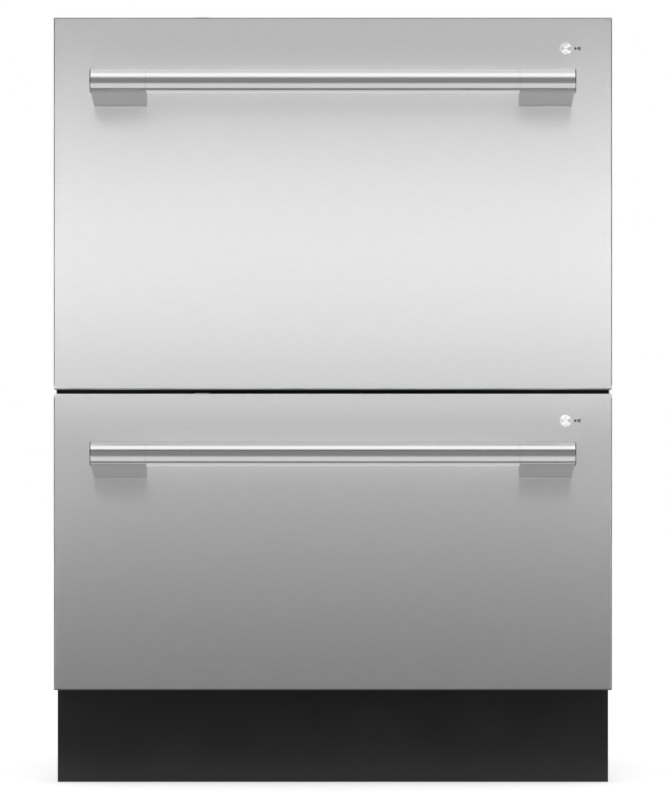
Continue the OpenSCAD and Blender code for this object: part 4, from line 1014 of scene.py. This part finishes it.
strips = []
for drawer in DRAWERS:
    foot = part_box(drawer + "_handle_posts")[0].z - 0.001
    for side in (-1, 1):
        left, right = sorted((side * POST_OUTER, side * SEAM_X))
        strips.append((left, right, foot, foot - FADE, 0.34))  # under a post
under_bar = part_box("upper_handle_bar")[0].z + 0.002
strips += [
    (-SEAM_X, SEAM_X, under_bar, under_bar - FADE, 0.34),  # under the upper bar
    (-POST_OUTER, POST_OUTER, 0.768, 0.806, 0.2),  # above the upper bar
    (-FRONT_SIDE, FRONT_SIDE, 0.368, 0.4175, 0.12),  # from the lower bar up, over the whole width
    (-FRONT_SIDE, FRONT_SIDE, 0.368, 0.300, 0.12),  # and from there down
    (-POST_OUTER, POST_OUTER, 0.368, 0.4015, 0.09),  # above the lower bar
    (-SEAM_X, SEAM_X, 0.3416, 0.327, 0.13),  # under the lower bar
]
gauze = gauze_strips(strips)
gauze.data.materials.append(gauze_finish())
gauze.visible_camera = gauze.visible_diffuse = gauze.visible_glossy = False
gauze.visible_transmission = False
gauze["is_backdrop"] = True
print("gauze:", len(strips), "strips")

# %% [markdown]
# ## The lamps
# Brushed metal shows little but what stands in front of it, so a product photographer lights a
# steel front by what it reflects. A wide, low softbox at the height of the upper drawer gives
# the fronts their soft bright band, a weak one near the floor fills in below it, and an overhead
# one gives the handles their white line. A lamp can be linked to the pieces that it lights, as if
# the others were flagged off from it.

# %% Long lamps
LAMP_LENGTH = 4.0
LAMP_AWAY, LAMP_HEIGHT = 1.2, 0.16
BAND_Z, BAND_WATTS = 0.603, 8.95
FILL_Z, FILL_WATTS = 0.17, 0.5
OVERHEAD_Y, OVERHEAD_Z, OVERHEAD_DEPTH, OVERHEAD_WATTS = -1.45, 2.2, 1.4, 9.0


def group(name, pieces):
    """A collection of pieces that isn't shown itself: a lamp's list of what it may light."""
    made = bpy.data.collections.new(name)
    for piece in pieces:
        made.objects.link(piece)
    return made


def softbox(name, place, aim, size, watts, only=(), shaded_by=()):
    """A rectangular lamp at place that points at aim. With only, it lights just those pieces,
    and with shaded_by just those pieces cast a shadow in its light."""
    data = bpy.data.lights.new(name, "AREA")
    data.shape = "RECTANGLE"
    data.size, data.size_y = size
    data.energy = watts
    lamp = bpy.data.objects.new(name, data)
    lamp.location = place
    lamp.rotation_euler = (Vector(aim) - Vector(place)).to_track_quat("-Z", "Y").to_euler()
    lamp.visible_camera = False
    scene.collection.objects.link(lamp)
    if only:
        lamp.light_linking.receiver_collection = group(name + "_lights", only)
    if shaded_by:
        lamp.light_linking.blocker_collection = group(name + "_shades", shaded_by)
        data.cycles.use_multiple_importance_sampling = False  # or the others shade it after all
    return lamp


def long_lamp(name, z, watts, only, shaded_by):
    """A long lamp that lies level before the fronts. Its light on a piece is its power over its
    distance, and the falloff node takes the distance out again, so that the front of an opened
    drawer gets no more light than that of a closed one."""
    lamp = softbox(name, (0, FRONT_Y - LAMP_AWAY, z), (0, FRONT_Y, z), (LAMP_LENGTH, LAMP_HEIGHT), watts,
                   only, shaded_by)
    lamp.data.use_nodes = True
    tree = lamp.data.node_tree
    falloff = tree.nodes.new("ShaderNodeLightFalloff")
    falloff.inputs["Strength"].default_value = 1 / LAMP_AWAY
    tree.links.new(falloff.outputs["Linear"], tree.nodes["Emission"].inputs["Strength"])


fronts = [nodes[drawer + kind] for drawer in DRAWERS for kind in ("_front_panel", "_start_button")]
shades = [nodes["kick_panel"], gauze]
long_lamp("band", BAND_Z, BAND_WATTS, fronts, shades)
long_lamp("fill", FILL_Z, FILL_WATTS, fronts, shades)
softbox("overhead", (0, OVERHEAD_Y, OVERHEAD_Z), (0, OVERHEAD_Y, 0), (LAMP_LENGTH, OVERHEAD_DEPTH),
        OVERHEAD_WATTS)
print("long lamps at the heights", BAND_Z, FILL_Z, OVERHEAD_Z)

# %% [markdown]
# ## Cards, glows and sparks
# A handle or a button is small and round, and shows each lamp as a narrow line or a spot. Its own
# lamps are placed by the angles at which it sees them, and their power comes from their radiance,
# the light per area and angle, which is how bright they look in a reflection.

# %% Small lamps
PANEL_GAP, PANEL_LENGTH = 0.0015, 0.58
SPARK_AWAY = 0.6


def radiant(name, place, aim, size, radiance, only):
    """A softbox of radiance L: with the area A it gives off pi L A watts."""
    softbox(name, place, aim, size, math.pi * radiance * size[0] * size[1], only)


def card(name, piece, low, high, distance, radiance, only):
    """A lamp that fills the angles from low to high, in degrees above the level, as they are seen
    from the middle of a piece: its height is twice the distance times tan((high - low) / 2)."""
    tilt = math.radians((low + high) / 2)
    height = 2 * distance * math.tan(math.radians((high - low) / 2))
    aim = middle(piece)
    place = aim + distance * Vector((0, -math.cos(tilt), math.sin(tilt)))
    radiant(name, place, aim, (LAMP_LENGTH, height), radiance, only)


def panel_glow(name, bottom, top, radiance, only):
    """A lamp flat against the front from bottom to top, for the light that the front throws back
    at a handle."""
    place = Vector((0, FRONT_Y - PANEL_GAP, (top + bottom) / 2))
    radiant(name, place, place - Vector((0, 1, 0)), (PANEL_LENGTH, top - bottom), radiance, only)


def spark(name, piece, turn, tilt, size, radiance):
    """A small square lamp before a button, turned to the right and tilted up by degrees."""
    aim = middle(piece)
    place = aim + SPARK_AWAY * Vector((math.tan(math.radians(turn)), -1, math.tan(math.radians(tilt))))
    radiant(name, place, aim, (size, size), radiance, [nodes[piece]])


for drawer in DRAWERS:
    bar, posts = nodes[drawer + "_handle_bar"], nodes[drawer + "_handle_posts"]
    bar_low, bar_high = (corner.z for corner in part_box(bar.name))
    button = drawer + "_start_button"
    card(drawer + "_low_card", bar.name, -75, -25, 0.34, 0.9, [bar, posts])
    card(drawer + "_front_card", bar.name, -25, 30, 0.5, 0.3, [bar, posts])
    panel_glow(drawer + "_bar_glow", bar_low - 0.2, bar_low - 0.012, 0.8, [bar])
    panel_glow(drawer + "_post_glow", bar_low - 0.2, bar_low - 0.012, 0.3, [posts])
    panel_glow(drawer + "_bar_back", bar_high + 0.003, bar_high + 0.06, 0.12, [bar, posts])
    spark(drawer + "_spark", button, 13, 14, 0.12, 1.8)
    spark(drawer + "_button_card", button, 2, 3, 0.5, 0.33)

# %% [markdown]
# ## The dark boards
# What the steel doesn't reflect from a lamp it would reflect from the white studio. A black
# board in front of the fronts and a black cloth before their feet keep it dark. Both are only
# there for reflections: the camera, the shadows and the plain light don't know them.

# %% Boards
BOARD_Y, BOARD_TOP = FRONT_Y - 1.4, 1.5
BOARD_X, CLOTH_X = 2.0, 0.5  # from the middle to a side
CLOTH_Y, CLOTH_Z = FRONT_Y - 0.04, 0.002
board_finish, _ = start_finish("board", (0.01, 0.01, 0.01), 0.9)
cloth_finish, _ = start_finish("cloth", (0.12, 0.12, 0.12), 0.9)
board = sheet("board", (-BOARD_X, BOARD_Y, 0), 2 * BOARD_X * X_AXIS, BOARD_TOP * Z_AXIS, board_finish)
cloth = sheet("cloth", (-CLOTH_X, CLOTH_Y, CLOTH_Z), 2 * CLOTH_X * X_AXIS, (BOARD_Y - CLOTH_Y) * Y_AXIS,
              cloth_finish)
for flag in (board, cloth):
    flag.visible_camera = flag.visible_diffuse = flag.visible_shadow = False
    flag.visible_transmission = False
print("boards ready:", board.name, cloth.name)

# %% [markdown]
# ## Sizes and finish
# The box round everything that is shown of the visual model, leaving out the studio.
# The visual model has to stay inside the CAD model's box.

# %% Sizes
low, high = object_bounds()
print("visual model from", tuple(low), "to", tuple(high))
